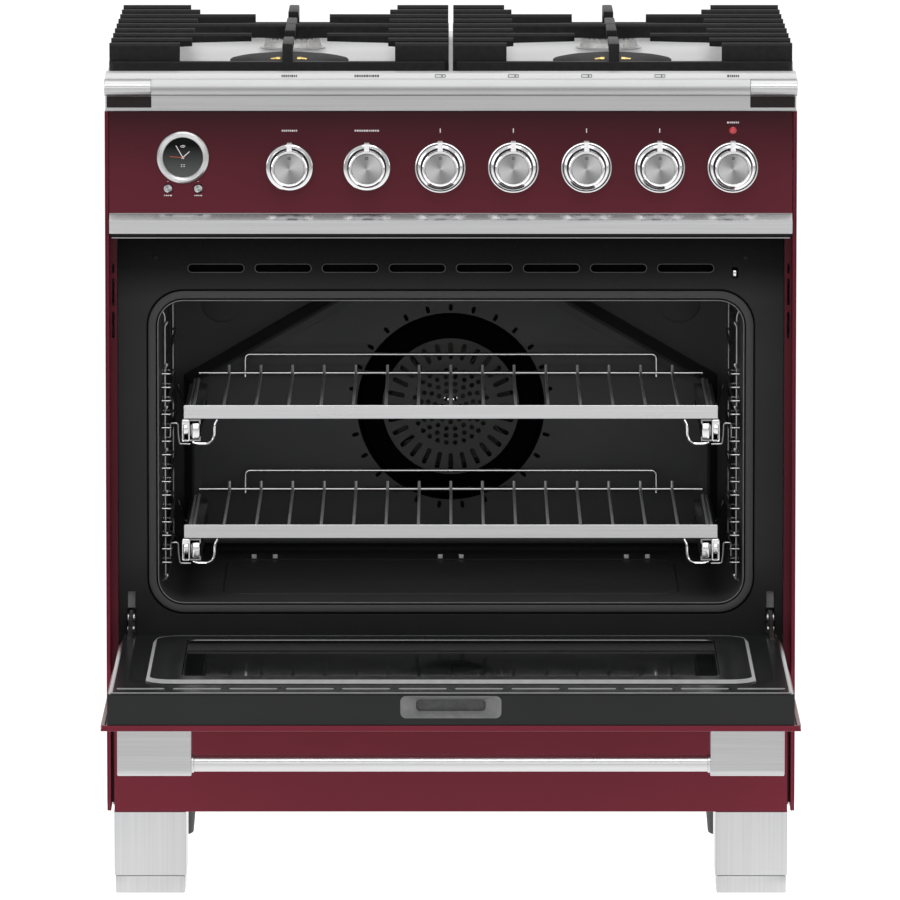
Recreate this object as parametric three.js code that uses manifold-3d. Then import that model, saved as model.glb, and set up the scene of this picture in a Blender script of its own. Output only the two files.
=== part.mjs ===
// A freestanding 30-inch range: gas hob, convection oven with a drop-down door, and a warming drawer.
// Millimetres, +Z up, front towards -Y. The door is modelled lying open on its stop.

import * as THREE from 'three';
import { mergeVertices } from 'three/addons/utils/BufferGeometryUtils.js';
import Module from 'manifold-3d';

const wasm = await Module();
wasm.setup();

// ---------------------------------------------------------------- driving dimensions
const GAP = 0.3; // clearance kept between solids that meet
const PAST = 1; // a cutter's overrun through the face it opens
const ARC_STEPS = 2; // half the straight steps in a quarter of a round corner

const WIDTH = 759; // over the side panels
const DEPTH = 640; // front of the control panel to the back of the rear panel
const HOB_Z = 903; // top of the hob sheet
const BODY_Z = 91; // underside of the body, above the legs
const SKIN = 4.5; // folded edge of a side panel
const SHEET = 1.5; // gauge of the body's sheet steel
const INNER = WIDTH / 2 - SKIN - 0.4; // half width free between the side panels

const PANEL_LOW = 755.2; // control panel, bottom and top
const PANEL_HIGH = 867.5;
const PANEL_THICK = 3;
const RAIL_LOW = 733.3; // stainless rail under the control panel
const RAIL_PROUD = 8;
const TRIM_BAND_LOW = 867.8; // stainless trim over the control panel
const TRIM_NOSE_LOW = 884.4;
const TRIM_PROUD = 12;
const TRIM_BACK = 30.3;

const KNOB_Z = 805.6;
const OVEN_KNOBS = { knob_function: -176.9, knob_temperature: -92.1 };
const BURNER_KNOBS = {
  knob_burner_1: -11.6,
  knob_burner_2: 68.5,
  knob_burner_3: 148.7,
  knob_burner_4: 228.9,
};
const WARMER_KNOBS = { knob_warmer: 309.1 };
const OVEN_KNOB_SKIRT = 26.7; // radius of the skirt
const BURNER_KNOB_SKIRT = 28.7;
const KNOB_RADIUS = 20.3;
const KNOB_PROUD = 24;
const KNOB_STEM = 3.2;
const CLOCK = { x: -293.7, z: 816.7, bezel: 28.9, face: 21.6 };
const BUTTONS = { button_cancel: -310.2, button_remote: -277 };
const BUTTON_Z = 782.3;
const BUTTON_RADIUS = 4.6;

const FRAME_FRONT = 43; // enamelled frame round the oven mouth
const FRAME_THICK = 4;
const FRAME_BACK = FRAME_FRONT + FRAME_THICK;
const MOUTH = { half: 322.5, low: 318.6, high: 653.7, corner: 27.5 };
const GASKET = { inside: 6.5, outside: 12.5, front: 42.3, back: 45.7 }; // grown from the mouth
const VENTS = { count: 8, pitch: 73.9, half: 31, z: 690, high: 4.6 };
const LOCK_SLOT = { x: 313, z: 685 };
const FLANGE_SLOTS = [[612, 641.5], [648.5, 678.5], [684.5, 695]]; // bottom and top of each
const LINER_WALL = 2;
const LINER_BACK = 483; // inner face of the oven's back wall
const LINER_CEILING = 664;
const BAFFLE_FRONT = 443;
const BAFFLE_SHEET = 3;
const BAFFLE = { half: 305, low: 323, high: 660, shoulder: 522, flat: 66 };
const FAN_Z = 490;
const FAN_RADIUS = 70;
const ELEMENT_TUBE = 3.4;
const ELEMENT_RING = 96;
const GRILL = { x: 230, z: 655, pitch: 70, rows: [120, 190, 260, 330] };

const HINGE_Y = 6; // door hinge line
const HINGE_Z = 255;
const DOOR_TIP = -461;
const DOOR_LOW = 249; // outer face of the door while it lies open
const DOOR_HIGH = 291;
const DOOR_SKIN = 6;
const DOOR_HALF = 371.5;
const DOOR_INNER_HALF = 364.5;
const DOOR_WINDOW = { half: 287, near: -338, far: -54 };
const OUTER_WINDOW = { half: 230, near: -330, far: -130 };
const DOOR_RIM = { half: 323, near: -401, far: -27, width: 26 };
const HINGE_X = 353;
const HANDLE = { outer: 354.2, inner: 275.4, y: -440, drop: 50, depth: 24, bar: 9 };

const DRAWER_TOP = 243.5;
const DRAWER_BOX = { half: 338, low: 112, high: 205, back: 560, wall: 2.5 };

const RACK_HEIGHTS = { upper: 534.8, lower: 401.7 }; // top of the front band
const RACK_FRONT = 70.5;
const RACK_BACK = 417;
const RACK_HALF = 295.5;
const RACK_BAND = 15.2;
const RACK_PITCH = 36;
const RACK_WIRES = 15;
const LADDER_X = 313;
const LADDER = { rungs: 7, first: 346, pitch: 47, front: 76, back: 420, wire: 2.4 };
const SLIDE = { inner: 277, outer: 297, front: 74, back: 426, high: 24 };

const GRATE = { inner: 2.3, outer: 376, front: 45, back: 585, low: 907, bar: 918, top: 938 };
const FINGER_PITCH = 65.2;
const FINGER_ROWS = 9;
const FINGER_THICK = 9;
const FINGER_INSET = 5;
const ARM_ROWS = [2, 6]; // these rows reach in to the burners
const MIDDLE_ROW = 4;
const ARM_CLEAR = 42; // from a burner's centre to the tips round it
const rowCentre = (row) => GRATE.front + FINGER_INSET + FINGER_THICK / 2 + FINGER_PITCH * row;
const ARM_ROOT = 22; // along a finger from the frame bar to where it thins
const ARM_UNDER = { root: 926, tip: 929 }; // underside of a finger
const BRIDGE_UNDER = { root: 922, tip: 922 }; // underside of the bar between the burners
const SPINE = { half: 5.75, deep: 10 };
const BURNER_X = 179.5;
const BURNER_FRONT_Y = rowCentre(ARM_ROWS[0]);
const BURNER_REAR_Y = rowCentre(ARM_ROWS[1]);
const BURNER_HOLE = 28;
const DOME = { base: 61, rim: 66, high: 12.8 }; // front burners
const CROWN = { flange: 41, root: 33, cap: 38.5, low: 9.9, high: 15.5 }; // rear burners

const LEG = { outer: 372, inner: 292, depth: 95, low: 19.9 };
const REAR_LEG = { x: 321, y: 432, top: 30, bottom: 27 };

// ---------------------------------------------------------------- materials
const paint = (color, roughness, metalness) =>
  new THREE.MeshStandardMaterial({ color, roughness, metalness });
const RED = paint(0x5e2330, 0.25, 0.1);
const STAINLESS = paint(0xb9babb, 0.3, 1);
const SATIN = paint(0xcfcfcf, 0.35, 0.9);
const CHROME = paint(0xe6e6e6, 0.15, 1);
const ENAMEL = paint(0x2c2d2e, 0.35, 0.1);
const CAST_IRON = paint(0x1c1c1d, 0.7, 0.3);
const ALUMINIUM = paint(0xc8c8c6, 0.4, 1);
const GALVANISED = paint(0x9a9c9e, 0.5, 0.9);
const BRASS = paint(0xc9a95a, 0.35, 1);
const GLASS = paint(0x0d0f10, 0.06, 0);
const DARK_PLASTIC = paint(0x4a4a4b, 0.6, 0);
const SEAL = paint(0x303031, 0.9, 0);

// ---------------------------------------------------------------- solids
/** A manifold solid from a closed three.js geometry, its faces turned outwards. */
function solid(geometry) {
  const bare = new THREE.BufferGeometry();
  bare.setAttribute('position', geometry.getAttribute('position'));
  bare.setIndex(geometry.getIndex());
  const merged = mergeVertices(bare);
  const vertProperties = Float32Array.from(merged.getAttribute('position').array);
  const corners = merged.getIndex().array;
  const a = new THREE.Vector3();
  const b = new THREE.Vector3();
  const c = new THREE.Vector3();
  const kept = [];
  let volume = 0;
  for (let i = 0; i < corners.length; i += 3) {
    const [p, q, r] = [corners[i], corners[i + 1], corners[i + 2]];
    if (p === q || q === r || r === p) continue;
    kept.push(p, q, r);
    a.fromArray(vertProperties, 3 * p);
    b.fromArray(vertProperties, 3 * q);
    c.fromArray(vertProperties, 3 * r);
    volume += a.dot(b.cross(c));
  }
  if (volume < 0) kept.reverse();
  const triVerts = Uint32Array.from(kept);
  return new wasm.Manifold(new wasm.Mesh({ numProp: 3, vertProperties, triVerts }));
}

/** A block between two corners. */
function block(x0, x1, y0, y1, z0, z1) {
  const geometry = new THREE.BoxGeometry(x1 - x0, y1 - y0, z1 - z0);
  geometry.translate((x0 + x1) / 2, (y0 + y1) / 2, (z0 + z1) / 2);
  return solid(geometry);
}

/** The same block on the left and on the right. */
const blockPair = (x0, x1, y0, y1, z0, z1) => [
  block(x0, x1, y0, y1, z0, z1),
  block(-x1, -x0, y0, y1, z0, z1),
];

const drawnOut = (outline, depth, steps) =>
  new THREE.ExtrudeGeometry(outline, { depth, bevelEnabled: false, curveSegments: steps });

/** An outline in Y and Z, drawn out along X. */
function prismX(outline, x0, x1, steps = ARC_STEPS) {
  const geometry = drawnOut(outline, x1 - x0, steps);
  geometry.rotateX(Math.PI / 2).rotateZ(Math.PI / 2).translate(x0, 0, 0);
  return solid(geometry);
}

/** An outline in X and Z, drawn out along Y. */
function prismY(outline, y0, y1, steps = ARC_STEPS) {
  const geometry = drawnOut(outline, y1 - y0, steps);
  geometry.rotateX(Math.PI / 2).translate(0, y1, 0);
  return solid(geometry);
}

/** An outline in X and Y, drawn out along Z. */
function prismZ(outline, z0, z1, steps = ARC_STEPS) {
  const geometry = drawnOut(outline, z1 - z0, steps);
  geometry.translate(0, 0, z0);
  return solid(geometry);
}

const polygon = (points) => new THREE.Shape(points.map(([x, y]) => new THREE.Vector2(x, y)));

/** A rectangle with round corners. */
function roundedRect(x0, x1, y0, y1, radius) {
  const outline = new THREE.Shape();
  outline.moveTo(x0 + radius, y0);
  outline.lineTo(x1 - radius, y0);
  outline.absarc(x1 - radius, y0 + radius, radius, -Math.PI / 2, 0);
  outline.absarc(x1 - radius, y1 - radius, radius, 0, Math.PI / 2);
  outline.absarc(x0 + radius, y1 - radius, radius, Math.PI / 2, Math.PI);
  outline.absarc(x0 + radius, y0 + radius, radius, Math.PI, 1.5 * Math.PI);
  return outline;
}

/** A cylinder along Y. */
function rodY(x, z, radius, y0, y1, sides = 12) {
  const geometry = new THREE.CylinderGeometry(radius, radius, y1 - y0, sides);
  geometry.translate(x, (y0 + y1) / 2, z);
  return solid(geometry);
}

/** A cylinder along X. */
function rodX(y, z, radius, x0, x1, sides = 12) {
  const geometry = new THREE.CylinderGeometry(radius, radius, x1 - x0, sides);
  geometry.rotateZ(Math.PI / 2).translate((x0 + x1) / 2, y, z);
  return solid(geometry);
}

/** A cylinder along Z. */
function rodZ(x, y, radius, z0, z1, sides = 12) {
  const geometry = new THREE.CylinderGeometry(radius, radius, z1 - z0, sides);
  geometry.rotateX(Math.PI / 2).translate(x, y, (z0 + z1) / 2);
  return solid(geometry);
}

/** A profile of [radius, height] points turned about Z. */
function turned(profile, segments = 16) {
  const points = profile.map(([radius, height]) => new THREE.Vector2(radius, height));
  return solid(new THREE.LatheGeometry(points, segments).rotateX(Math.PI / 2));
}

/** The same profile turned about Y, its height running forwards. */
function turnedForward(profile, segments = 18) {
  const points = profile.map(([radius, height]) => new THREE.Vector2(radius, height));
  return solid(new THREE.LatheGeometry(points, segments).rotateX(Math.PI));
}

const join = (...solids) => wasm.Manifold.union(solids.flat()).asOriginal();
const cut = (body, ...tools) => body.subtract(join(...tools)).asOriginal();
const range = (count) => Array.from({ length: count }, (_, i) => i);

/** Turns a solid by an angle about the line along Y through (x, z). */
function aboutY(body, degrees, x, z) {
  return body.translate([-x, 0, -z]).rotate([0, degrees, 0]).translate([x, 0, z]);
}

// ---------------------------------------------------------------- scene graph
const appliance = new THREE.Group();

/** Adds a solid to the appliance as one named mesh. */
function add(name, body, material, x = 0, y = 0, z = 0) {
  const { vertProperties, triVerts } = body.getMesh();
  const geometry = new THREE.BufferGeometry();
  geometry.setAttribute('position', new THREE.BufferAttribute(vertProperties, 3));
  geometry.setIndex(new THREE.BufferAttribute(triVerts, 1));
  geometry.computeVertexNormals();
  const mesh = new THREE.Mesh(geometry, material);
  mesh.name = name;
  mesh.position.set(x, y, z);
  appliance.add(mesh);
}

// ---------------------------------------------------------------- casing
/** Side panel: a skin with a thick folded front edge and a slotted flange behind the door's edge. */
function sidePanel(side) {
  const outer = WIDTH / 2;
  const back = DEPTH - SHEET - GAP;
  const outline = polygon([
    [1, BODY_Z + 13],
    [8, BODY_Z],
    [back, BODY_Z],
    [back, TRIM_BAND_LOW - 0.4],
    [1, TRIM_BAND_LOW - 0.4],
  ]);
  const skin = cut(
    prismX(outline, outer - SKIN, outer),
    block(outer - SKIN - 1, outer - SHEET, FRAME_FRONT + 4, back + 1, BODY_Z - 1, TRIM_BAND_LOW + 1),
  );
  const flange = block(INNER - 7.2, outer - 1, FRAME_FRONT + 1, FRAME_FRONT + 4, BODY_Z, RAIL_LOW - 1);
  const slots = FLANGE_SLOTS.map(([low, high]) =>
    block(INNER - 3.5, INNER - 0.5, FRAME_FRONT, FRAME_FRONT + 5, low, high),
  );
  const left = cut(join(skin, flange), slots);
  return side > 0 ? left : left.mirror([1, 0, 0]);
}

/** Rear panel with louvre slots and the hole for the gas inlet. */
function rearPanel() {
  const sheet = block(-INNER, INNER, DEPTH - SHEET, DEPTH, BODY_Z + 6, TRIM_BAND_LOW - 0.4);
  const louvres = range(6).map((i) => {
    const x = -250 + 100 * i;
    return block(x - 30, x + 30, DEPTH - 5, DEPTH + 1, 760, 768);
  });
  return cut(sheet, louvres, rodY(345, KNOB_Z, 12, DEPTH - 5, DEPTH + 1));
}

/** Base pan, with a clear hole for the stem of each rear leg. */
function basePan() {
  const pan = block(-INNER, INNER, FRAME_BACK + 4.5, DEPTH - SHEET - GAP, BODY_Z + 0.2, BODY_Z + 2.2);
  const holes = [1, -1].map((s) => rodZ(s * REAR_LEG.x, REAR_LEG.y, 10, BODY_Z - 1, BODY_Z + 5));
  return cut(pan, holes);
}

/** Enamelled frame round the oven mouth, with the cooling slots and the hinge and lock slots. */
function frontFrame() {
  const half = INNER - 7.6;
  const sheet = block(-half, half, FRAME_FRONT, FRAME_BACK, 250, RAIL_LOW - 6);
  const mouth = prismY(
    roundedRect(-MOUTH.half, MOUTH.half, MOUTH.low, MOUTH.high, MOUTH.corner),
    FRAME_FRONT - 1,
    FRAME_BACK + 1,
  );
  const vents = range(VENTS.count).map((i) => {
    const x = VENTS.pitch * (i - (VENTS.count - 1) / 2);
    const { half: wide, z: middle, high } = VENTS;
    const outline = roundedRect(x - wide, x + wide, middle - high, middle + high, high - 0.1);
    return prismY(outline, FRAME_FRONT - PAST, FRAME_BACK + PAST, 1);
  });
  const hinges = blockPair(HINGE_X - 4.8, HINGE_X + 4.8, FRAME_FRONT - PAST, FRAME_BACK + PAST, 240, 331);
  const { x, z } = LOCK_SLOT;
  const lock = block(x - 3.8, x + 3.8, FRAME_FRONT - PAST, FRAME_BACK + PAST, z - 6, z + 6);
  const groove = sealRing(GAP, FRAME_FRONT - PAST, GASKET.back + GAP);
  return cut(sheet, mouth, vents, hinges, lock, groove);
}

/** The mouth's outline grown outwards by a distance, drawn out from y0 to y1. */
function mouthRing(grow, y0, y1) {
  const { half, low, high, corner } = MOUTH;
  return prismY(roundedRect(-half - grow, half + grow, low - grow, high + grow, corner + grow), y0, y1);
}

/** The seal's ring round the mouth, made wider on both sides by slack. */
function sealRing(slack, y0, y1) {
  const filled = mouthRing(GASKET.outside + slack, y0, y1);
  return cut(filled, mouthRing(GASKET.inside - slack, y0 - PAST, y1 + PAST));
}

/** Woven seal in its groove in the frame, standing a little proud of it. */
const doorGasket = () => sealRing(0, GASKET.front, GASKET.back);

// ---------------------------------------------------------------- oven
/** Oven liner: a round-cornered box open at the front. */
function ovenLiner() {
  const shell = prismY(
    roundedRect(
      -MOUTH.half - LINER_WALL,
      MOUTH.half + LINER_WALL,
      MOUTH.low - LINER_WALL,
      LINER_CEILING + LINER_WALL,
      MOUTH.corner + LINER_WALL,
    ),
    FRAME_BACK + GAP,
    LINER_BACK + LINER_WALL,
  );
  const room = prismY(
    roundedRect(-MOUTH.half, MOUTH.half, MOUTH.low, LINER_CEILING, MOUTH.corner),
    FRAME_FRONT,
    LINER_BACK,
  );
  const through = (x, z, radius) => rodY(x, z, radius, LINER_BACK - 1, LINER_BACK + LINER_WALL + 1);
  const terminals = [GRILL.x, -GRILL.x].map((x) => through(x, GRILL.z, 5));
  const ringTerminals = [20, -20].map((x) => through(x, FAN_Z + ELEMENT_RING - 3, 5));
  return cut(shell, room, through(0, FAN_Z, 9), terminals, ringTerminals);
}

/** Outline of the fan baffle, its upper corners cut off at a slant. */
function baffleOutline(inset) {
  const { half, low, high, shoulder, flat } = BAFFLE;
  return polygon([
    [-half + inset, low + inset],
    [half - inset, low + inset],
    [half - inset, shoulder - 0.5 * inset],
    [flat - 0.4 * inset, high - inset],
    [-flat + 0.4 * inset, high - inset],
    [-half + inset, shoulder - 0.5 * inset],
  ]);
}

/** Fan baffle: a shallow tray over the fan, with a grille of radial slots and small holes. */
function fanBaffle() {
  const tray = prismY(baffleOutline(0), BAFFLE_FRONT, LINER_BACK - GAP);
  const room = prismY(baffleOutline(BAFFLE_SHEET), BAFFLE_FRONT + BAFFLE_SHEET, LINER_BACK + 1);
  const slot = block(-2.5, 2.5, BAFFLE_FRONT - 1, BAFFLE_FRONT + 4, FAN_Z + 55, FAN_Z + 72);
  const slots = range(28).map((i) => aboutY(slot, (360 * i) / 28, 0, FAN_Z));
  const hole = rodY(0, FAN_Z + 34, 4, BAFFLE_FRONT - 1, BAFFLE_FRONT + 4, 6);
  const holes = range(12).map((i) => aboutY(hole, 30 * i, 0, FAN_Z));
  return cut(tray, room, slots, holes);
}

/** Convection fan: a back disc with radial blades, a hub and the shaft to its motor. */
function fanRotor() {
  const y0 = BAFFLE_FRONT + 9;
  const disc = rodY(0, FAN_Z, FAN_RADIUS, y0 + 20, y0 + 22, 20);
  const blade = block(-1, 1, y0, y0 + 20.5, FAN_Z + 30, FAN_Z + FAN_RADIUS - 1);
  const blades = range(8).map((i) => aboutY(blade, 45 * i, 0, FAN_Z));
  const hub = rodY(0, FAN_Z, 11, y0 + 4, y0 + 26, 12);
  const shaft = rodY(0, FAN_Z, 4, y0 + 20, LINER_BACK + 19, 8);
  return join(disc, blades, hub, shaft);
}

/** Fan motor behind the back wall, bored for the shaft. */
function fanMotor() {
  const start = LINER_BACK + LINER_WALL + GAP;
  const body = rodY(0, FAN_Z, 44, start + 8, start + 62, 16);
  const bracket = block(-60, 60, start, start + 9, FAN_Z - 12, FAN_Z + 12);
  return cut(join(body, bracket), rodY(0, FAN_Z, 6, start - 1, LINER_BACK + 22));
}

/** Ring element round the fan, with its two terminals through the back wall. */
function convectionElement() {
  const y = BAFFLE_FRONT + 20;
  const ring = new THREE.TorusGeometry(ELEMENT_RING, ELEMENT_TUBE, 6, 24).rotateX(Math.PI / 2);
  ring.translate(0, y, FAN_Z);
  const pin = (x) => rodY(x, FAN_Z + ELEMENT_RING - 3, ELEMENT_TUBE, y, LINER_BACK + 20, 6);
  return join(solid(ring), pin(20), pin(-20));
}

/** Grill element under the ceiling: four passes joined at their ends. */
function grillElement() {
  const { x, z, rows, pitch } = GRILL;
  const passes = rows.map((y) => rodX(y, z, ELEMENT_TUBE, -x - 3, x + 3, 6));
  const bends = rows.slice(0, -1).map((y, i) =>
    rodY(i % 2 ? -x : x, z, ELEMENT_TUBE, y - 1, y + pitch + 1, 6),
  );
  const legs = [x, -x].map((end) => rodY(end, z, ELEMENT_TUBE, rows.at(-1) - 1, LINER_BACK + 20, 6));
  return join(passes, bends, legs);
}

/** Wire ladder on a side wall: two uprights and seven rungs that hold the slides. */
function sideRack(side) {
  const { rungs, first, pitch, front, back, wire } = LADDER;
  const upright = (y) => rodZ(LADDER_X + 3, y, wire, first - 10, first + pitch * (rungs - 1) + 14, 6);
  const steps = range(rungs).map((i) => rodY(LADDER_X, first + pitch * i, wire, front - 4, back + 4, 6));
  const left = join(upright(front), upright(back), steps);
  return side > 0 ? left : left.mirror([1, 0, 0]);
}

/** Slide under one side of a rack: a channel with two hooks over the ladder's rung. */
function rackSlide(side, bandTop) {
  const top = bandTop - RACK_BAND - 1.6;
  const { inner, outer, front, back, high } = SLIDE;
  const rail = block(inner, outer, front, back, top - high, top);
  const groove = block(inner + 3, outer - 7, front - PAST, back + PAST, top - high + 5, top - 5);
  const hooks = [front + 16, back - 26].map((y) =>
    block(outer - 1, LADDER_X - 3, y, y + 8, top - high + 4, top - 4),
  );
  const left = join(cut(rail, groove), hooks);
  return side > 0 ? left : left.mirror([1, 0, 0]);
}

/** Wire rack: a flat front band, wires from front to back, side runners and a raised rear stop. */
function rack(bandTop) {
  const low = bandTop - RACK_BAND;
  const deck = bandTop - 2.5;
  const band = block(-RACK_HALF, RACK_HALF, RACK_FRONT, RACK_FRONT + 2, low, bandTop);
  const wires = range(RACK_WIRES).map((i) => {
    const x = RACK_PITCH * (i - (RACK_WIRES - 1) / 2);
    return block(x - 1.8, x + 1.8, RACK_FRONT + 1, RACK_BACK + 2, deck - 3.6, deck);
  });
  const rear = block(-RACK_HALF + 3, RACK_HALF - 3, RACK_BACK - 2.5, RACK_BACK + 2.5, deck - 8, deck - 3);
  const runners = blockPair(281, 293, RACK_FRONT + 1, RACK_BACK, low - 1.2, deck - 4);
  const stop = block(-236, 236, RACK_BACK - 1.8, RACK_BACK + 1.8, bandTop + 16, bandTop + 19.6);
  const posts = blockPair(232.4, 236, RACK_BACK - 1.8, RACK_BACK + 1.8, deck - 7, bandTop + 19.6);
  return join(band, wires, rear, runners, stop, posts);
}

// ---------------------------------------------------------------- control panel
const KNOB_PLACES = { ...OVEN_KNOBS, ...BURNER_KNOBS, ...WARMER_KNOBS };

/** Control panel sheet, pierced for the knob stems, the clock and the two buttons. */
function controlPanel() {
  const sheet = block(-INNER, INNER, 0, PANEL_THICK, PANEL_LOW, PANEL_HIGH);
  const through = (x, z, radius, sides) => rodY(x, z, radius, -1, PANEL_THICK + 1, sides);
  const stems = Object.values(KNOB_PLACES).map((x) => through(x, KNOB_Z, KNOB_STEM + 1.5, 8));
  const buttons = Object.values(BUTTONS).map((x) => through(x, BUTTON_Z, BUTTON_RADIUS + 0.5, 10));
  return cut(sheet, stems, buttons, through(CLOCK.x, CLOCK.z, CLOCK.face - 1, 16));
}

/** Stainless rail under the control panel: a bevel above, an upright face and a thin lip below. */
function panelRail() {
  const section = polygon([
    [PANEL_THICK + 6, PANEL_LOW - GAP],
    [0, PANEL_LOW - GAP],
    [-RAIL_PROUD, 747.2],
    [-RAIL_PROUD, RAIL_LOW],
    [10, RAIL_LOW],
    [10, RAIL_LOW - 5],
    [FRAME_FRONT - 2, RAIL_LOW - 5],
    [FRAME_FRONT - 2, RAIL_LOW - 3],
    [13, RAIL_LOW - 3],
    [13, 747.2],
  ]);
  return prismX(section, -INNER, INNER);
}

/** Stainless trim over the control panel: a flat band under a rounded nose. */
function topTrim() {
  const radius = (HOB_Z - TRIM_NOSE_LOW) / 2;
  const section = new THREE.Shape();
  section.moveTo(TRIM_BACK, HOB_Z);
  section.lineTo(TRIM_BACK, HOB_Z - 3);
  section.lineTo(PANEL_THICK, HOB_Z - 3);
  section.lineTo(PANEL_THICK, TRIM_BAND_LOW);
  section.lineTo(-1.5, TRIM_BAND_LOW);
  section.lineTo(-1.5, TRIM_NOSE_LOW);
  section.lineTo(radius - TRIM_PROUD, TRIM_NOSE_LOW);
  section.absarc(radius - TRIM_PROUD, TRIM_NOSE_LOW + radius, radius, 1.5 * Math.PI, 0.5 * Math.PI, true);
  return prismX(section, -WIDTH / 2, WIDTH / 2);
}

/** Knob: a skirt, a round body with a pointer bar across its top edge, and a stem. */
function knob(skirt) {
  const profile = [
    [0, 0.4],
    [skirt, 0.4],
    [skirt, 3],
    [skirt - 3, 4.6],
    [KNOB_RADIUS, 4.6],
    [KNOB_RADIUS - 0.6, KNOB_PROUD - 1.5],
    [KNOB_RADIUS - 2, KNOB_PROUD],
    [0, KNOB_PROUD],
  ];
  const pointer = block(-2.8, 2.8, -KNOB_PROUD - 1, -1, KNOB_RADIUS - 6, skirt + 0.8);
  const stem = rodY(0, 0, KNOB_STEM, -2, 22, 8);
  return join(turnedForward(profile), pointer, stem);
}

/** Clock: a bezel ring round a sunken face, with its housing behind the panel. */
function clockBezel() {
  const { bezel, face } = CLOCK;
  return turnedForward(
    [
      [0, -14],
      [face - 2, -14],
      [face - 2, GAP],
      [bezel, GAP],
      [bezel, 2],
      [bezel - 2, 4],
      [face + 1, 4],
      [face, 2],
      [0, 2],
    ],
    24,
  );
}

/** Push button with a collar behind the panel. */
function button() {
  return turnedForward(
    [
      [0, -12],
      [BUTTON_RADIUS + 1.6, -12],
      [BUTTON_RADIUS + 1.6, -9],
      [BUTTON_RADIUS, -9],
      [BUTTON_RADIUS, 2],
      [BUTTON_RADIUS - 0.8, 2.8],
      [0, 2.8],
    ],
    12,
  );
}

/** Gas manifold: a pipe with one valve behind each burner knob, led back to the inlet. */
function gasManifold() {
  const pipe = rodX(60, KNOB_Z, 8, -40, 353, 8);
  const feed = rodY(345, KNOB_Z, 8, 55, DEPTH - 0.5, 8);
  const valves = Object.values(BURNER_KNOBS).map((x) =>
    block(x - 11, x + 11, 22.5, 62, KNOB_Z - 12, KNOB_Z + 12),
  );
  return join(pipe, feed, valves);
}

// ---------------------------------------------------------------- hob
/** Hob sheet: an upturned tray with four burner holes and a row of vents at the back. */
function hobTop() {
  const half = WIDTH / 2 - 0.2;
  const front = TRIM_BACK + GAP;
  const tray = block(-half, half, front, DEPTH, TRIM_BAND_LOW, HOB_Z);
  const room = block(
    -half + SHEET,
    half - SHEET,
    front + SHEET,
    DEPTH - SHEET,
    TRIM_BAND_LOW - PAST,
    HOB_Z - SHEET,
  );
  const holes = [BURNER_FRONT_Y, BURNER_REAR_Y].flatMap((y) =>
    [-BURNER_X, BURNER_X].map((x) => rodZ(x, y, BURNER_HOLE, HOB_Z - 5, HOB_Z + 1, 16)),
  );
  const vents = range(10).map((i) => {
    const x = 68 * (i - 4.5);
    return block(x - 26, x + 26, 604, 614, HOB_Z - 5, HOB_Z + 1);
  });
  return cut(tray, room, holes, vents);
}

/** Throat under a burner, from the mixing tube up through the hole in the hob. */
const throat = () => [
  [0, -34],
  [22, -34],
  [22, -4],
  [BURNER_HOLE - 2, -2],
  [BURNER_HOLE - 2, 0.4],
];

/** Base of a wide front burner: a low ring round the throat. */
const domeBase = () => turned([...throat(), [DOME.base, 0.4], [DOME.base, 2.7], [0, 2.7]], 24);

/** Cap of a wide front burner: a low black dome with a rounded rim. */
function domeCap() {
  const { rim, high } = DOME;
  return turned(
    [
      [0, 3],
      [rim - 2, 3],
      [rim, 4.5],
      [rim - 1, 6.5],
      [rim - 8, 8.5],
      [rim - 22, 10.4],
      [rim - 38, high - 0.6],
      [0, high],
    ],
    24,
  );
}

/** Base of a rear burner: a flange on the hob and the crown that holds its flame ports. */
function crownBase() {
  const { flange, root, low } = CROWN;
  return turned([
    ...throat(),
    [flange, 0.4],
    [flange, 1.6],
    [root, 2.2],
    [root - 1.5, 5],
    [root - 1.5, low - GAP],
    [0, low - GAP],
  ]);
}

/** Cap of a rear burner, a flat black disc with a rounded edge. */
function crownCap() {
  const { cap, low, high } = CROWN;
  return turned([
    [0, low],
    [cap - 2, low],
    [cap, low + 1.6],
    [cap, high - 1.8],
    [cap - 4, high],
    [0, high],
  ]);
}

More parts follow.
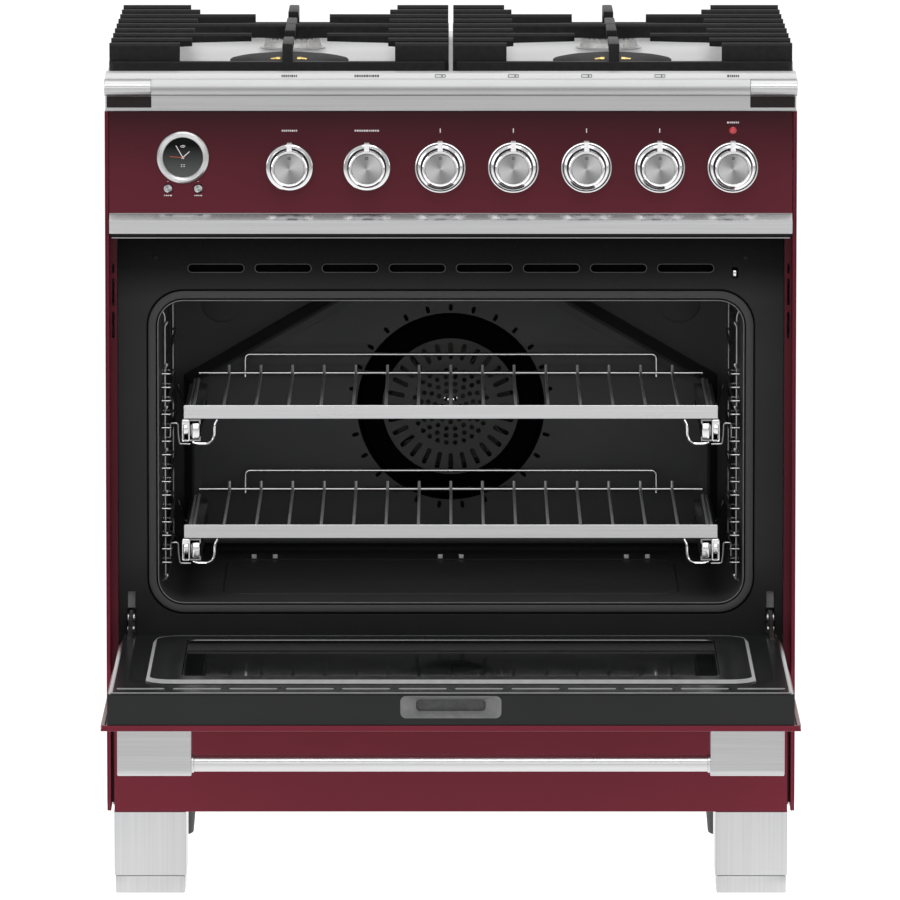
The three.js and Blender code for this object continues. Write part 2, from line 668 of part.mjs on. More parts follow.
/** Pan support over one side's burners: a frame on feet, comb fingers and arms in to each burner. */
function grate(side) {
  const { inner, outer, front, back, low, bar, top } = GRATE;
  const frame = cut(
    block(inner, outer, front, back, low, bar),
    block(inner + 10, outer - 10, front + 10, back - 10, low - 1, bar + 1),
  );
  const across = (x0, x1, row) => {
    const y0 = front + FINGER_INSET + FINGER_PITCH * row;
    return block(x0, x1, y0, y0 + FINGER_THICK, bar - 2, top);
  };
  const arm = (root, tip, row, under = ARM_UNDER) => {
    const bend = root + Math.sign(tip - root) * ARM_ROOT;
    const outline = polygon([
      [root, bar - 2],
      [(root + bend) / 2, bar - 2],
      [bend, under.root],
      [tip, under.tip],
      [tip, top],
      [root, top],
    ]);
    const y0 = front + FINGER_INSET + FINGER_PITCH * row;
    return prismY(outline, y0, y0 + FINGER_THICK);
  };
  const combs = range(FINGER_ROWS).flatMap((row) => {
    const [short, long] = row % (FINGER_ROWS - 1) ? [67, 90] : [59, 78];
    const ends = [inner + 0.5, outer - 0.5];
    if (row === MIDDLE_ROW) {
      return [
        arm(ends[0], BURNER_X + 1, row, BRIDGE_UNDER),
        arm(ends[1], BURNER_X - 1, row, BRIDGE_UNDER),
      ];
    }
    if (ARM_ROWS.includes(row)) {
      return [arm(ends[0], BURNER_X - ARM_CLEAR, row), arm(ends[1], BURNER_X + ARM_CLEAR, row)];
    }
    if (row % (FINGER_ROWS - 1) === 0) {
      return [across(ends[0], inner + short, row), across(outer - long, ends[1], row)];
    }
    return [arm(ends[0], inner + short, row), arm(ends[1], outer - long, row)];
  });
  const { half, deep } = SPINE;
  const spine = (y0, y1, z0) => block(BURNER_X - half, BURNER_X + half, y0, y1, z0, top - 0.5);
  const spines = [
    spine(front + 1, BURNER_FRONT_Y - ARM_CLEAR, top - deep),
    spine(BURNER_FRONT_Y + ARM_CLEAR, BURNER_REAR_Y - ARM_CLEAR, top - deep),
    spine(BURNER_REAR_Y + ARM_CLEAR, back - 1, top - deep),
    spine(front + 0.5, front + 8, bar - 2),
    spine(back - 8, back - 0.5, bar - 2),
  ];
  const feet = [front + 2, back - 8].flatMap((y) => [
    block(inner + 2, inner + 8, y, y + 6, HOB_Z + GAP, low + 1),
    block(outer - 8, outer - 2, y, y + 6, HOB_Z + GAP, low + 1),
  ]);
  const right = join(frame, combs, spines, feet);
  return side > 0 ? right : right.mirror([1, 0, 0]);
}

// ---------------------------------------------------------------- door
/** Outer skin of the door, lying open: a shallow tray with the opening of its outer window. */
function doorOuterPanel() {
  const { half, near, far } = OUTER_WINDOW;
  const top = DOOR_LOW + DOOR_SKIN;
  const skin = block(-DOOR_HALF, DOOR_HALF, DOOR_TIP, 4, DOOR_LOW, top);
  const edge = DOOR_HALF - DOOR_INNER_HALF + 2;
  const wide = DOOR_HALF - edge;
  const tray = block(-wide, wide, DOOR_TIP + edge, 4 - edge, DOOR_LOW + 2, top + PAST);
  return cut(skin, tray, block(-half, half, near, far, DOOR_LOW - PAST, top + PAST));
}

/** Inner door: a tray with a raised rim round the window and notches for the hinge arms. */
function doorInnerPanel() {
  const { half, near, far, width } = DOOR_RIM;
  const low = DOOR_LOW + DOOR_SKIN + GAP;
  const sheet = 2.5;
  const body = block(-DOOR_INNER_HALF, DOOR_INNER_HALF, DOOR_TIP + 2, 3, low, DOOR_HIGH - 2);
  const room = block(
    -DOOR_INNER_HALF + sheet,
    DOOR_INNER_HALF - sheet,
    DOOR_TIP + 2 + sheet,
    3 - sheet,
    low - 1,
    DOOR_HIGH - 2 - sheet,
  );
  const rim = cut(
    prismZ(roundedRect(-half, half, near, far, 24), DOOR_HIGH - 3, DOOR_HIGH),
    prismZ(
      roundedRect(-half + width, half - width, near + width, far - width, 8),
      DOOR_HIGH - 4,
      DOOR_HIGH + PAST,
    ),
  );
  const window = block(
    -DOOR_WINDOW.half,
    DOOR_WINDOW.half,
    DOOR_WINDOW.near,
    DOOR_WINDOW.far,
    DOOR_HIGH - 20,
    DOOR_HIGH + 1,
  );
  const notches = blockPair(HINGE_X - 4.5, HINGE_X + 4.5, -40, 4, low - 1, DOOR_HIGH + 1);
  return cut(join(cut(body, room), rim), window, notches);
}

/** Glass pane held inside the door behind one of its openings. */
function pane(half, near, far, low) {
  return block(-half, half, near, far, low, low + 4);
}

/** Handle: a bar between two wide end brackets, hanging from the door's outer face. */
function doorHandle() {
  const { outer, inner, y, drop, depth, bar } = HANDLE;
  const top = DOOR_LOW - GAP;
  const low = DOOR_LOW - drop;
  const section = new THREE.Shape();
  section.moveTo(y - depth / 2, top);
  section.lineTo(y - depth / 2, low + 6);
  section.absarc(y - depth / 2 + 6, low + 6, 6, Math.PI, 1.5 * Math.PI);
  section.absarc(y + depth / 2 - 6, low + 6, 6, 1.5 * Math.PI, 2 * Math.PI);
  section.lineTo(y + depth / 2, top);
  const brackets = [prismX(section, inner, outer), prismX(section, -outer, -inner)];
  return join(brackets, rodX(y, low + 4 + bar, bar, -inner - 1, inner + 1, 12));
}

/** Hinge arm from its notch in the door into the slot in the frame, drawn from the hinge line. */
function hingeArm(x) {
  const outline = polygon(
    [
      [-43, 11],
      [-43, 34],
      [22, 55],
      [44, 55],
      [44, 37],
      [34, 33],
      [-2, 24],
      [-26, 11],
    ].map(([y, z]) => [HINGE_Y + y, HINGE_Z + z]),
  );
  return prismX(outline, x - 3.75, x + 3.75);
}

// ---------------------------------------------------------------- drawer
/** Drawer front, a folded sheet open at the back. */
function drawerFront() {
  const outside = block(-DOOR_HALF, DOOR_HALF, 0, 20, BODY_Z, DRAWER_TOP);
  return cut(outside, block(-DOOR_HALF + 2.5, DOOR_HALF - 2.5, 2.5, 21, BODY_Z + 2.5, DRAWER_TOP - 2.5));
}

/** Drawer box, open at the top, its front wall standing against the drawer front. */
function drawerBox() {
  const { half, low, high, back, wall } = DRAWER_BOX;
  const outside = block(-half, half, 20.4, back, low, high);
  return cut(outside, block(-half + wall, half - wall, 20.4 + wall, back - wall, low + wall, high + 1));
}

// ---------------------------------------------------------------- legs
/** Stainless sleeve of a front leg, a box closed at the top. */
function legSleeve(side) {
  const { outer, inner, depth, low } = LEG;
  const outside = block(inner, outer, 0, depth, low, BODY_Z - 0.4);
  const left = cut(outside, block(inner + 2.5, outer - 2.5, 2.5, depth - 2.5, low - 1, BODY_Z - 3));
  return side > 0 ? left : left.mirror([1, 0, 0]);
}

/** Front foot: a block under the sleeve with its threaded stem. */
function frontFoot() {
  const half = (LEG.outer - LEG.inner) / 2;
  const foot = block(-half + 1.5, half - 1.5, -LEG.depth / 2 + 1.5, LEG.depth / 2 - 1.5, 0, LEG.low - GAP);
  return join(foot, rodZ(0, 0, 8, LEG.low - 2, 76, 8));
}

/** Rear leg: a tapered moulded leg with its stem through the base pan. */
function rearFoot() {
  const { top, bottom } = REAR_LEG;
  return turned(
    [
      [0, 0],
      [bottom, 0],
      [top, 30],
      [top, BODY_Z - 1],
      [8, BODY_Z - 1],
      [8, 109],
      [0, 109],
    ],
    16,
  );
}

// ---------------------------------------------------------------- assembly
const SIDES = { left: -1, right: 1 };

for (const [side, sign] of Object.entries(SIDES)) {
  add(`side_panel_${side}`, sidePanel(sign), RED);
  add(`side_rack_${side}`, sideRack(sign), CHROME);
  add(`leg_sleeve_${side}`, legSleeve(sign), STAINLESS);
  add(`grate_${side}`, grate(sign), CAST_IRON);
  add(`hinge_arm_${side}`, hingeArm(sign * HINGE_X), CHROME);
  const legX = (sign * (LEG.outer + LEG.inner)) / 2;
  add(`foot_front_${side}`, frontFoot(), STAINLESS, legX, LEG.depth / 2);
  add(`foot_rear_${side}`, rearFoot(), DARK_PLASTIC, sign * REAR_LEG.x, REAR_LEG.y);
  const x = sign * BURNER_X;
  add(`burner_front_${side}`, domeBase(), ALUMINIUM, x, BURNER_FRONT_Y, HOB_Z);
  add(`burner_cap_front_${side}`, domeCap(), CAST_IRON, x, BURNER_FRONT_Y, HOB_Z);
  add(`burner_rear_${side}`, crownBase(), ALUMINIUM, x, BURNER_REAR_Y, HOB_Z);
  add(`burner_cap_rear_${side}`, crownCap(), CAST_IRON, x, BURNER_REAR_Y, HOB_Z);
  for (const [level, bandTop] of Object.entries(RACK_HEIGHTS)) {
    add(`slide_${level}_${side}`, rackSlide(sign, bandTop), CHROME);
  }
}

add('rear_panel', rearPanel(), GALVANISED);
add('base_pan', basePan(), GALVANISED);
add('front_frame', frontFrame(), ENAMEL);
add('door_gasket', doorGasket(), SEAL);
add('oven_liner', ovenLiner(), ENAMEL);
add('fan_baffle', fanBaffle(), ENAMEL);
add('fan_rotor', fanRotor(), GALVANISED);
add('fan_motor', fanMotor(), GALVANISED);
add('convection_element', convectionElement(), STAINLESS);
add('grill_element', grillElement(), STAINLESS);
add('rack_upper', rack(RACK_HEIGHTS.upper), CHROME);
add('rack_lower', rack(RACK_HEIGHTS.lower), CHROME);

add('control_panel', controlPanel(), RED);
add('panel_rail', panelRail(), STAINLESS);
add('top_trim', topTrim(), STAINLESS);
add('clock_bezel', clockBezel(), CHROME, CLOCK.x, 0, CLOCK.z);
add('gas_manifold', gasManifold(), BRASS);
for (const [name, x] of Object.entries(BUTTONS)) {
  add(name, button(), SATIN, x, 0, BUTTON_Z);
}
for (const [name, x] of Object.entries(KNOB_PLACES)) {
  add(name, knob(name in OVEN_KNOBS ? OVEN_KNOB_SKIRT : BURNER_KNOB_SKIRT), CHROME, x, 0, KNOB_Z);
}

add('hob_top', hobTop(), STAINLESS);

add('door_outer_panel', doorOuterPanel(), RED);
add('door_inner_panel', doorInnerPanel(), ENAMEL);
add('door_inner_glass', pane(DOOR_WINDOW.half + 8, -346, -46, 282), GLASS);
add('door_outer_glass', pane(OUTER_WINDOW.half + 8, -338, -122, DOOR_LOW + 2 + GAP), GLASS);
add('door_handle', doorHandle(), SATIN);

add('drawer_front', drawerFront(), RED);
add('drawer_box', drawerBox(), GALVANISED);

// The origin is on the floor, under the middle of the appliance with its door open.
appliance.position.set(0, -(DOOR_TIP + DEPTH) / 2, 0);

export default appliance;
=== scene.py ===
"""The visible surfaces of a freestanding 30-inch range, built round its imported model.

Shapes are drawn in millimetres, with Y measured from the front of the control panel and Z from the
floor, and each piece is turned into metres in the model's frame as it is made.
"""

import math
import random
from collections import namedtuple

import bmesh
import bpy
from mathutils import Matrix, Vector


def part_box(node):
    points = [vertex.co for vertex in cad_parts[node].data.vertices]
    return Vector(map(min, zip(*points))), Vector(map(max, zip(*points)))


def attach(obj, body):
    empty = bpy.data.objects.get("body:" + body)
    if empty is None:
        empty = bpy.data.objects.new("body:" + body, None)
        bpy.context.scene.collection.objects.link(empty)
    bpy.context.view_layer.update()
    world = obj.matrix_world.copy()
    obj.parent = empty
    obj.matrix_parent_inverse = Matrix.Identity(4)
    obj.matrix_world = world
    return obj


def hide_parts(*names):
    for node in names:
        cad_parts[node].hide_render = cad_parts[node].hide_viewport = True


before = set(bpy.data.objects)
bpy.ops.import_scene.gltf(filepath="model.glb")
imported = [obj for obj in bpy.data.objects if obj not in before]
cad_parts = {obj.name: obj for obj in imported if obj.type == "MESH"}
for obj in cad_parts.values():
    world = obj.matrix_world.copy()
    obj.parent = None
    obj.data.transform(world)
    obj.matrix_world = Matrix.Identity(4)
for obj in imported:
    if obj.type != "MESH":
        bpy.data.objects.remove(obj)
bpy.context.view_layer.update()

MM = 0.001
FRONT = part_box("control_panel")[0].y  # the front of the control panel, in the model's frame
SHEET = 1.5  # gauge of pressed sheet
FACET = 18  # degrees between faces above which an edge stays crisp
SIDES = {"left": -1, "right": 1}
KNOB_Z = 805.6  # height of the knobs' centres, and of the gas feed behind them
FEED_X = 345  # the gas feed, to the right of the middle
HINGE_X = 353  # middle of each hinge arm's slot, from the middle of the appliance
HINGE_HALF = 4.8  # half the width of that slot in the frame
HINGE_TOP = 331  # top of that slot
MOUTH = (-322.5, 322.5, 318.6, 653.7)  # the oven's opening: left, right, bottom, top
MOUTH_CORNER = 27.5  # radius of its corners
CEILING = 664  # the oven's ceiling behind its mouth
FAN_Z = 490  # height of the fan's axle
HOB_WELL = 3  # depth of the hob's pressed wells
BUTTONS = ("button_cancel", "button_remote")
BURNER_KNOBS = tuple(f"knob_burner_{i}" for i in (1, 2, 3, 4))
KNOBS = ("knob_function", "knob_temperature", *BURNER_KNOBS, "knob_warmer")
BURNERS = [(row, side) for row in ("front", "rear") for side in SIDES]

Span = namedtuple("Span", "x0 x1 y0 y1 z0 z1")


def span(node):
    """A CAD node's box in millimetres."""
    low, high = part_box(node)
    return Span(
        low.x / MM, high.x / MM,
        (low.y - FRONT) / MM, (high.y - FRONT) / MM,
        low.z / MM, high.z / MM,
    )


def middle(node):
    """The centre of a CAD node's box in millimetres."""
    s = span(node)
    return (s.x0 + s.x1) / 2, (s.y0 + s.y1) / 2, (s.z0 + s.z1) / 2


def spaced(pitch, count):
    """Places an even pitch apart, centred on the middle of the appliance."""
    return [pitch * (i - (count - 1) / 2) for i in range(count)]


# ---------------------------------------------------------------- outlines
def rounded(u0, u1, v0, v1, radius, steps=6):
    """A rectangle with round corners, as a list of points."""
    radius = max(0.05, min(radius, (u1 - u0) / 2, (v1 - v0) / 2))
    centres = (
        (u1 - radius, v1 - radius), (u0 + radius, v1 - radius),
        (u0 + radius, v0 + radius), (u1 - radius, v0 + radius),
    )
    points = []
    for quarter, (u, v) in enumerate(centres):
        for i in range(steps + 1):
            turn = math.pi / 2 * (quarter + i / steps)
            points.append((u + radius * math.cos(turn), v + radius * math.sin(turn)))
    return points


def circle(u, v, radius, steps=32):
    turns = [2 * math.pi * i / steps for i in range(steps)]
    return [(u + radius * math.cos(t), v + radius * math.sin(t)) for t in turns]


def arc(u, v, radius, start, end, steps=8):
    """Points on an arc, its angles in degrees."""
    turns = [math.radians(start + (end - start) * i / steps) for i in range(steps + 1)]
    return [(u + radius * math.cos(t), v + radius * math.sin(t)) for t in turns]


def turned(points, degrees, u, v):
    """An outline turned about a point."""
    c, s = math.cos(math.radians(degrees)), math.sin(math.radians(degrees))
    return [(u + c * (p - u) - s * (q - v), v + s * (p - u) + c * (q - v)) for p, q in points]


def softened(points, radius, steps=5):
    """A polygon or an open path in space with its inner corners rounded."""
    path = [Vector(p) for p in points]
    out = [path[0]]
    for before, corner, after in zip(path, path[1:], path[2:]):
        a, b = before - corner, after - corner
        reach = min(radius, 0.49 * a.length, 0.49 * b.length)
        p, q = corner + a.normalized() * reach, corner + b.normalized() * reach
        for i in range(steps + 1):
            t = i / steps
            out.append((1 - t) ** 2 * p + 2 * t * (1 - t) * corner + t * t * q)
    return out + [path[-1]]


# ---------------------------------------------------------------- meshes
TURNS = {
    "x": Matrix(((0, 0, 1, 0), (1, 0, 0, 0), (0, 1, 0, 0), (0, 0, 0, 1))),
    "y": Matrix(((1, 0, 0, 0), (0, 0, 1, 0), (0, 1, 0, 0), (0, 0, 0, 1))),
    "z": Matrix.Identity(4),
}


def from_curve(curve):
    """A curve's final mesh."""
    holder = bpy.data.objects.new("drawing", curve)
    bpy.context.scene.collection.objects.link(holder)
    final = holder.evaluated_get(bpy.context.evaluated_depsgraph_get())
    mesh = bpy.data.meshes.new_from_object(final)
    bpy.data.objects.remove(holder)
    bpy.data.curves.remove(curve)
    return mesh


def plate(outline, low, high, axis="y", holes=(), edge=0.4):
    """A sheet with holes and softened edges, drawn on the two other axes, from low to high."""
    curve = bpy.data.curves.new("drawing", "CURVE")
    curve.dimensions = "2D"
    curve.fill_mode = "BOTH"
    edge = min(edge, 0.45 * (high - low))
    curve.bevel_depth = edge
    curve.bevel_resolution = 1
    curve.offset = -edge
    curve.extrude = (high - low) / 2 - edge
    for points in (outline, *holes):
        spline = curve.splines.new("POLY")
        spline.points.add(len(points) - 1)
        for point, (u, v) in zip(spline.points, points):
            point.co = (u, v, 0, 1)
        spline.use_cyclic_u = True
    mesh = from_curve(curve)
    mesh.transform(TURNS[axis] @ Matrix.Translation((0, 0, (low + high) / 2)))
    return mesh


def from_points(vertices, faces):
    mesh = bpy.data.meshes.new("drawing")
    mesh.from_pydata(vertices, [], faces)
    return mesh


def loft(rings, loop=False):
    """A skin over rings of points, closed by its two ends or round into a loop."""
    count = len(rings[0])
    vertices = [point for ring in rings for point in ring]
    bands = len(rings) if loop else len(rings) - 1
    faces = []
    for band in range(bands):
        a, b = band * count, (band + 1) % len(rings) * count
        for i in range(count):
            j = (i + 1) % count
            faces.append((a + i, a + j, b + j, b + i))
    if not loop:
        faces.append(tuple(range(count)))
        faces.append(tuple(range((len(rings) - 1) * count, len(rings) * count)))
    return from_points(vertices, faces)


def lifted(points, height, axis):
    """An outline placed in space at a height along an axis."""
    return [TURNS[axis] @ Vector((u, v, height)) for u, v in points]


def moulding(rect, profile, axis="y", corner=20.0, steps=8):
    """A closed section of (grown, height) points carried round a rounded rectangle."""
    u0, u1, v0, v1 = rect
    rings = [
        lifted(rounded(u0 - g, u1 + g, v0 - g, v1 + g, corner + g, steps), h, axis)
        for g, h in profile
    ]
    return loft(rings, loop=True)


def lathe(profile, centre=(0, 0, 0), forward=False, steps=64, ring=False):
    """A profile of (radius, height) turned about a line that runs up, or forward from the panel."""
    x, y, z = centre
    rings = []
    for radius, height in profile:
        radius = max(radius, 0.001)
        points = circle(0, 0, radius, steps)
        if forward:
            rings.append([(x + u, y - height, z + v) for u, v in points])
        else:
            rings.append([(x + u, y + v, z + height) for u, v in points])
    return loft(rings, loop=ring)


def tube(points, radius, corner=0.0, loop=False, sides=2):
    """A round wire along a path."""
    path = softened(points, corner) if corner else points
    curve = bpy.data.curves.new("drawing", "CURVE")
    curve.dimensions = "3D"
    curve.bevel_depth = radius
    curve.bevel_resolution = sides
    curve.use_fill_caps = True
    spline = curve.splines.new("POLY")
    spline.points.add(len(path) - 1)
    for point, place in zip(spline.points, path):
        point.co = (*place, 1)
    spline.use_cyclic_u = loop
    return from_curve(curve)


def block(x0, x1, y0, y1, z0, z1, edge=0.8, segments=2):
    """A block with rounded edges."""
    made = bmesh.new()
    bmesh.ops.create_cube(made, size=1)
    bmesh.ops.scale(made, vec=(x1 - x0, y1 - y0, z1 - z0), verts=made.verts)
    centre = ((x0 + x1) / 2, (y0 + y1) / 2, (z0 + z1) / 2)
    bmesh.ops.translate(made, vec=centre, verts=made.verts)
    edge = min(edge, 0.45 * min(x1 - x0, y1 - y0, z1 - z0))
    bmesh.ops.bevel(
        made, geom=list(made.edges), offset=edge, segments=segments, affect="EDGES", profile=0.5
    )
    mesh = bpy.data.meshes.new("drawing")
    made.to_mesh(mesh)
    made.free()
    return mesh


def mirrored(mesh):
    """The same shape on the other side of the appliance."""
    copy = mesh.copy()
    copy.transform(Matrix.Diagonal((-1, 1, 1, 1)))
    copy.flip_normals()
    return copy


def both(*meshes):
    """Shapes for the right-hand side, with their copies on the left."""
    return [shape for mesh in meshes for shape in (mesh, mirrored(mesh))]


def sided(meshes, sign):
    """Shapes drawn for the right-hand side, moved to the left where the sign says so."""
    return meshes if sign > 0 else [mirrored(mesh) for mesh in meshes]


def screw(x, y, z, radius=3.5, axis="y", out=-1):
    """A pan-head screw marked with a cross, its head standing out along an axis."""
    head = [(0, 1.6), (radius * 0.55, 1.5), (radius * 0.9, 0.9), (radius, 0.1), (radius, -0.6), (0, -0.6)]
    shape = lathe(head, steps=16)
    cross = [block(-radius * 0.6, radius * 0.6, -0.35, 0.35, 1.2, 1.75, 0.1, 1)]
    cross.append(block(-0.35, 0.35, -radius * 0.6, radius * 0.6, 1.2, 1.75, 0.1, 1))
    faced = {"x": Vector((1, 0, 0)), "y": Vector((0, 1, 0)), "z": Vector((0, 0, 1))}[axis] * out
    place = Matrix.Translation((x, y, z)) @ faced.to_track_quat("Z", "Y").to_matrix().to_4x4()
    for part in (shape, *cross):
        part.transform(place)
    return [shape, *cross]


# ---------------------------------------------------------------- finishes
def grey(level, blue=0.0):
    """A neutral colour, or one with a little more or less blue in it."""
    return (level, level, level + blue)


def steel(level):
    """The colour of a bare metal."""
    return grey(level, 0.005)


class Finish:
    """A material being put together: its nodes, and the sockets of its shader."""

    def __init__(self, name, slot, colour, roughness, **sockets):
        self.material = bpy.data.materials.new(name)
        self.material.use_nodes = True
        self.slot = slot
        self.nodes = self.material.node_tree.nodes
        self.links = self.material.node_tree.links
        self.shader = self.nodes["Principled BSDF"]
        self.shader.inputs["Base Color"].default_value = (*colour, 1)
        self.shader.inputs["Roughness"].default_value = roughness
        for socket, value in sockets.items():
            self.shader.inputs[socket.replace("_", " ")].default_value = value
        self.place = self.nodes.new("ShaderNodeTexCoord").outputs["Object"]
        self.relief = None

    def add(self, kind, settings=None, **sockets):
        """A node of a kind, with values or other nodes' outputs in its sockets."""
        node = self.nodes.new("ShaderNode" + kind)
        for setting, value in (settings or {}).items():
            setattr(node, setting, value)
        for socket, value in sockets.items():
            self.feed(node.inputs[socket.replace("_", " ")], value)
        return node

    def feed(self, target, value):
        """Gives a socket a value, or links another node's output to it."""
        if isinstance(value, bpy.types.NodeSocket):
            self.links.new(value, target)
        else:
            target.default_value = value

    def stretched(self, x, y, z):
        """The place on the piece, scaled by an amount along each axis."""
        return self.add("Mapping", Vector=self.place, Scale=(x, y, z)).outputs["Vector"]

    def noise(self, scale, detail=2.0, at=None):
        made = self.add("TexNoise", Vector=at or self.place, Scale=scale, Detail=detail)
        return made.outputs["Fac"]

    def ramp(self, fac, *stops):
        """A colour for each value of fac, from stops of (position, colour)."""
        node = self.add("ValToRGB", Fac=fac)
        elements = node.color_ramp.elements
        elements[0].position, elements[-1].position = stops[0][0], stops[-1][0]
        for position, _ in stops[1:-1]:
            elements.new(position)
        for element, (_, colour) in zip(elements, stops):
            element.color = (*colour, 1)
        return node.outputs["Color"]

    def between(self, fac, low, high):
        """A number that runs from low to high as fac runs from 0 to 1."""
        made = self.add("MapRange", Value=fac, To_Min=low, To_Max=high)
        return made.outputs["Result"]

    def maths(self, operation, *values):
        """One arithmetic step on numbers or other nodes' outputs."""
        node = self.nodes.new("ShaderNodeMath")
        node.operation = operation
        for target, value in zip(node.inputs, values):
            self.feed(target, value)
        return node.outputs["Value"]

    def multiplied(self, colour, shade):
        """One colour darkened by another."""
        mix = self.add("MixRGB", {"blend_type": "MULTIPLY"}, Fac=1.0, Color1=colour, Color2=shade)
        return mix.outputs["Color"]

    def set(self, socket, value):
        self.links.new(value, self.shader.inputs[socket])
        return self

    def bump(self, height, strength, distance):
        """Adds one layer of relief to the surface."""
        node = self.add("Bump", Height=height, Strength=strength, Distance=distance)
        if self.relief:
            self.links.new(self.relief, node.inputs["Normal"])
        self.relief = node.outputs["Normal"]
        self.links.new(self.relief, self.shader.inputs["Normal"])
        return self


def enamel(name, slot, deep, lit, speck, roughness, level, peel, painted_light_by_height=()):
    """Vitreous enamel: a deep glossy coat with a faint mottle, fine specks and orange peel.

    The last argument gives pairs of (height in metres, strength) that paint light and shade into the coat
    from low to high: painted shade, and on the trim's nose painted reflection bands.
    """
    made = Finish(name, slot, deep, roughness, Specular_IOR_Level=level)
    mottle = made.noise(9, 3)
    grain = made.noise(1400, 1)
    base = made.ramp(mottle, (0.3, deep), (0.7, lit))
    if painted_light_by_height:
        # Painted light and shade: the coat is darkened step by step with height.
        low, high = painted_light_by_height[0][0], painted_light_by_height[-1][0]
        height = made.add("SeparateXYZ", Vector=made.place).outputs["Z"]
        level_up = made.add("MapRange", Value=height, From_Min=low, From_Max=high).outputs["Result"]
        stops = [((z - low) / (high - low), grey(tone)) for z, tone in painted_light_by_height]
        base = made.multiplied(base, made.ramp(level_up, *stops))
    specks = made.ramp(grain, (0.70, grey(0)), (0.78, grey(1)))
    speckled = made.add("MixRGB", Fac=specks, Color1=base, Color2=(*speck, 1))
    made.set("Base Color", speckled.outputs["Color"])
    made.set("Roughness", made.between(made.noise(60, 3), roughness * 0.92, roughness * 1.1))
    return made.bump(made.noise(420, 2), peel, 0.0002)


def brushed(name, slot, dark, light, roughness, scale, grain=0.05, **sockets):
    """Brushed metal, its fine lines running along the axis with the small scale."""
    sockets.setdefault("Metallic", 1.0)
    made = Finish(name, slot, light, roughness, **sockets)
    lines = made.noise(1, 4, made.stretched(*scale))
    patches = made.noise(7, 2)
    made.set("Base Color", made.ramp(lines, (0.3, dark), (0.7, light)))
    made.set("Roughness", made.between(patches, roughness * 0.85, roughness * 1.2))
    return made.bump(lines, grain, 0.0002)


def spun(name, slot, dark, light, roughness, lines=5200):
    """Spun metal: rings round the piece's own axis, along Y, with an anisotropic sheen and a painted
    highlight in sectors that fan out from the axis.
    """
    made = Finish(name, slot, light, roughness, Metallic=1.0, Anisotropic=0.75)
    flat = made.stretched(1, 0, 1)
    radius = made.add("VectorMath", {"operation": "LENGTH"}, Vector=flat).outputs["Value"]
    rings = made.add("TexNoise", {"noise_dimensions": "1D"}, W=radius, Scale=lines, Detail=2.0)
    radial = made.add("Tangent", {"direction_type": "RADIAL", "axis": "Y"})
    made.links.new(radial.outputs["Tangent"], made.shader.inputs["Tangent"])
    metal = made.ramp(rings.outputs["Fac"], (0.3, dark), (0.7, light))
    # Painted highlight: lighter and darker sectors round the axis, painted into the colour.
    spread = made.add("SeparateXYZ", Vector=flat).outputs
    angle = made.maths("ARCTAN2", spread["X"], spread["Z"])
    wave = made.maths("SINE", made.maths("MULTIPLY_ADD", angle, 2.0, -0.5))
    share = made.maths("MULTIPLY_ADD", wave, 0.5, 0.5)
    painted_sheen_sectors = made.ramp(share, (0, grey(0.55)), (0.5, grey(0.78)), (1, grey(1)))
    made.set("Base Color", made.multiplied(metal, painted_sheen_sectors))
    return made.bump(rings.outputs["Fac"], 0.08, 0.0001)


def cast(name, slot, dark, light, roughness, scale, strength, metallic=0.0):
    """A rough cast or moulded surface."""
    made = Finish(name, slot, dark, roughness, Metallic=metallic, Specular_IOR_Level=0.2)
    coarse = made.noise(scale * 0.12, 3)
    made.set("Base Color", made.ramp(coarse, (0.35, dark), (0.7, light)))
    made.set("Roughness", made.between(coarse, roughness * 0.85, min(1, roughness * 1.15)))
    made.bump(made.noise(scale * 0.2, 2), strength * 0.6, 0.0006)
    return made.bump(made.noise(scale, 3), strength, 0.0004)


def glass(name, slot, body, roughness):
    """Dark tinted glass, with a faint unevenness in its gloss."""
    made = Finish(name, slot, body, roughness, Coat_Weight=0.6, Coat_Roughness=0.03)
    smear = made.noise(14, 4)
    made.set("Base Color", made.ramp(smear, (0.3, body), (0.8, tuple(3 * c + 0.002 for c in body))))
    return made.set("Roughness", made.between(smear, roughness * 0.7, roughness * 1.6))


def weave(name, slot, dark, light):
    """Braided glass-fibre seal."""
    made = Finish(name, slot, dark, 0.9, Sheen_Weight=0.2)
    across = {"bands_direction": "DIAGONAL"}
    strands = made.add("TexWave", across, Vector=made.place, Scale=260.0, Distortion=1.5, Detail=1.0)
    made.set("Base Color", made.ramp(strands.outputs["Fac"], (0.2, dark), (0.8, light)))
    return made.bump(strands.outputs["Fac"], 0.6, 0.0006)


def galvanised(name, slot):
    """Zinc-coated steel with its spangle."""
    made = Finish(name, slot, (0.45, 0.46, 0.47), 0.42, Metallic=0.9)
    spangle = made.add("TexVoronoi", Vector=made.place, Scale=90.0).outputs["Color"]
    flakes = made.add("RGBToBW", Color=spangle).outputs["Val"]
    made.set("Base Color", made.ramp(flakes, (0.1, (0.36, 0.37, 0.39)), (0.9, (0.56, 0.57, 0.58))))
    return made.set("Roughness", made.between(flakes, 0.32, 0.55))


def display(name, slot):
    """Clock face under clear glass, with painted light and shade: dark at the top and a little lighter
    towards the bottom.
    """
    made = Finish(name, slot, (0.01, 0.01, 0.011), 0.3, Specular_IOR_Level=0.04)
    height = made.add("SeparateXYZ", Vector=made.place).outputs["Z"]
    down = made.add("MapRange", Value=height, From_Min=0.022, From_Max=-0.022).outputs["Result"]
    # Painted light and shade: the face runs from dark at the top to lighter at the bottom.
    dark, lit = (0.004, 0.0045, 0.0045), (0.10, 0.104, 0.104)
    made.set("Base Color", made.ramp(down, (0.2, dark), (1.0, lit)))
    return made.bump(made.noise(900, 1), 0.02, 0.0001)


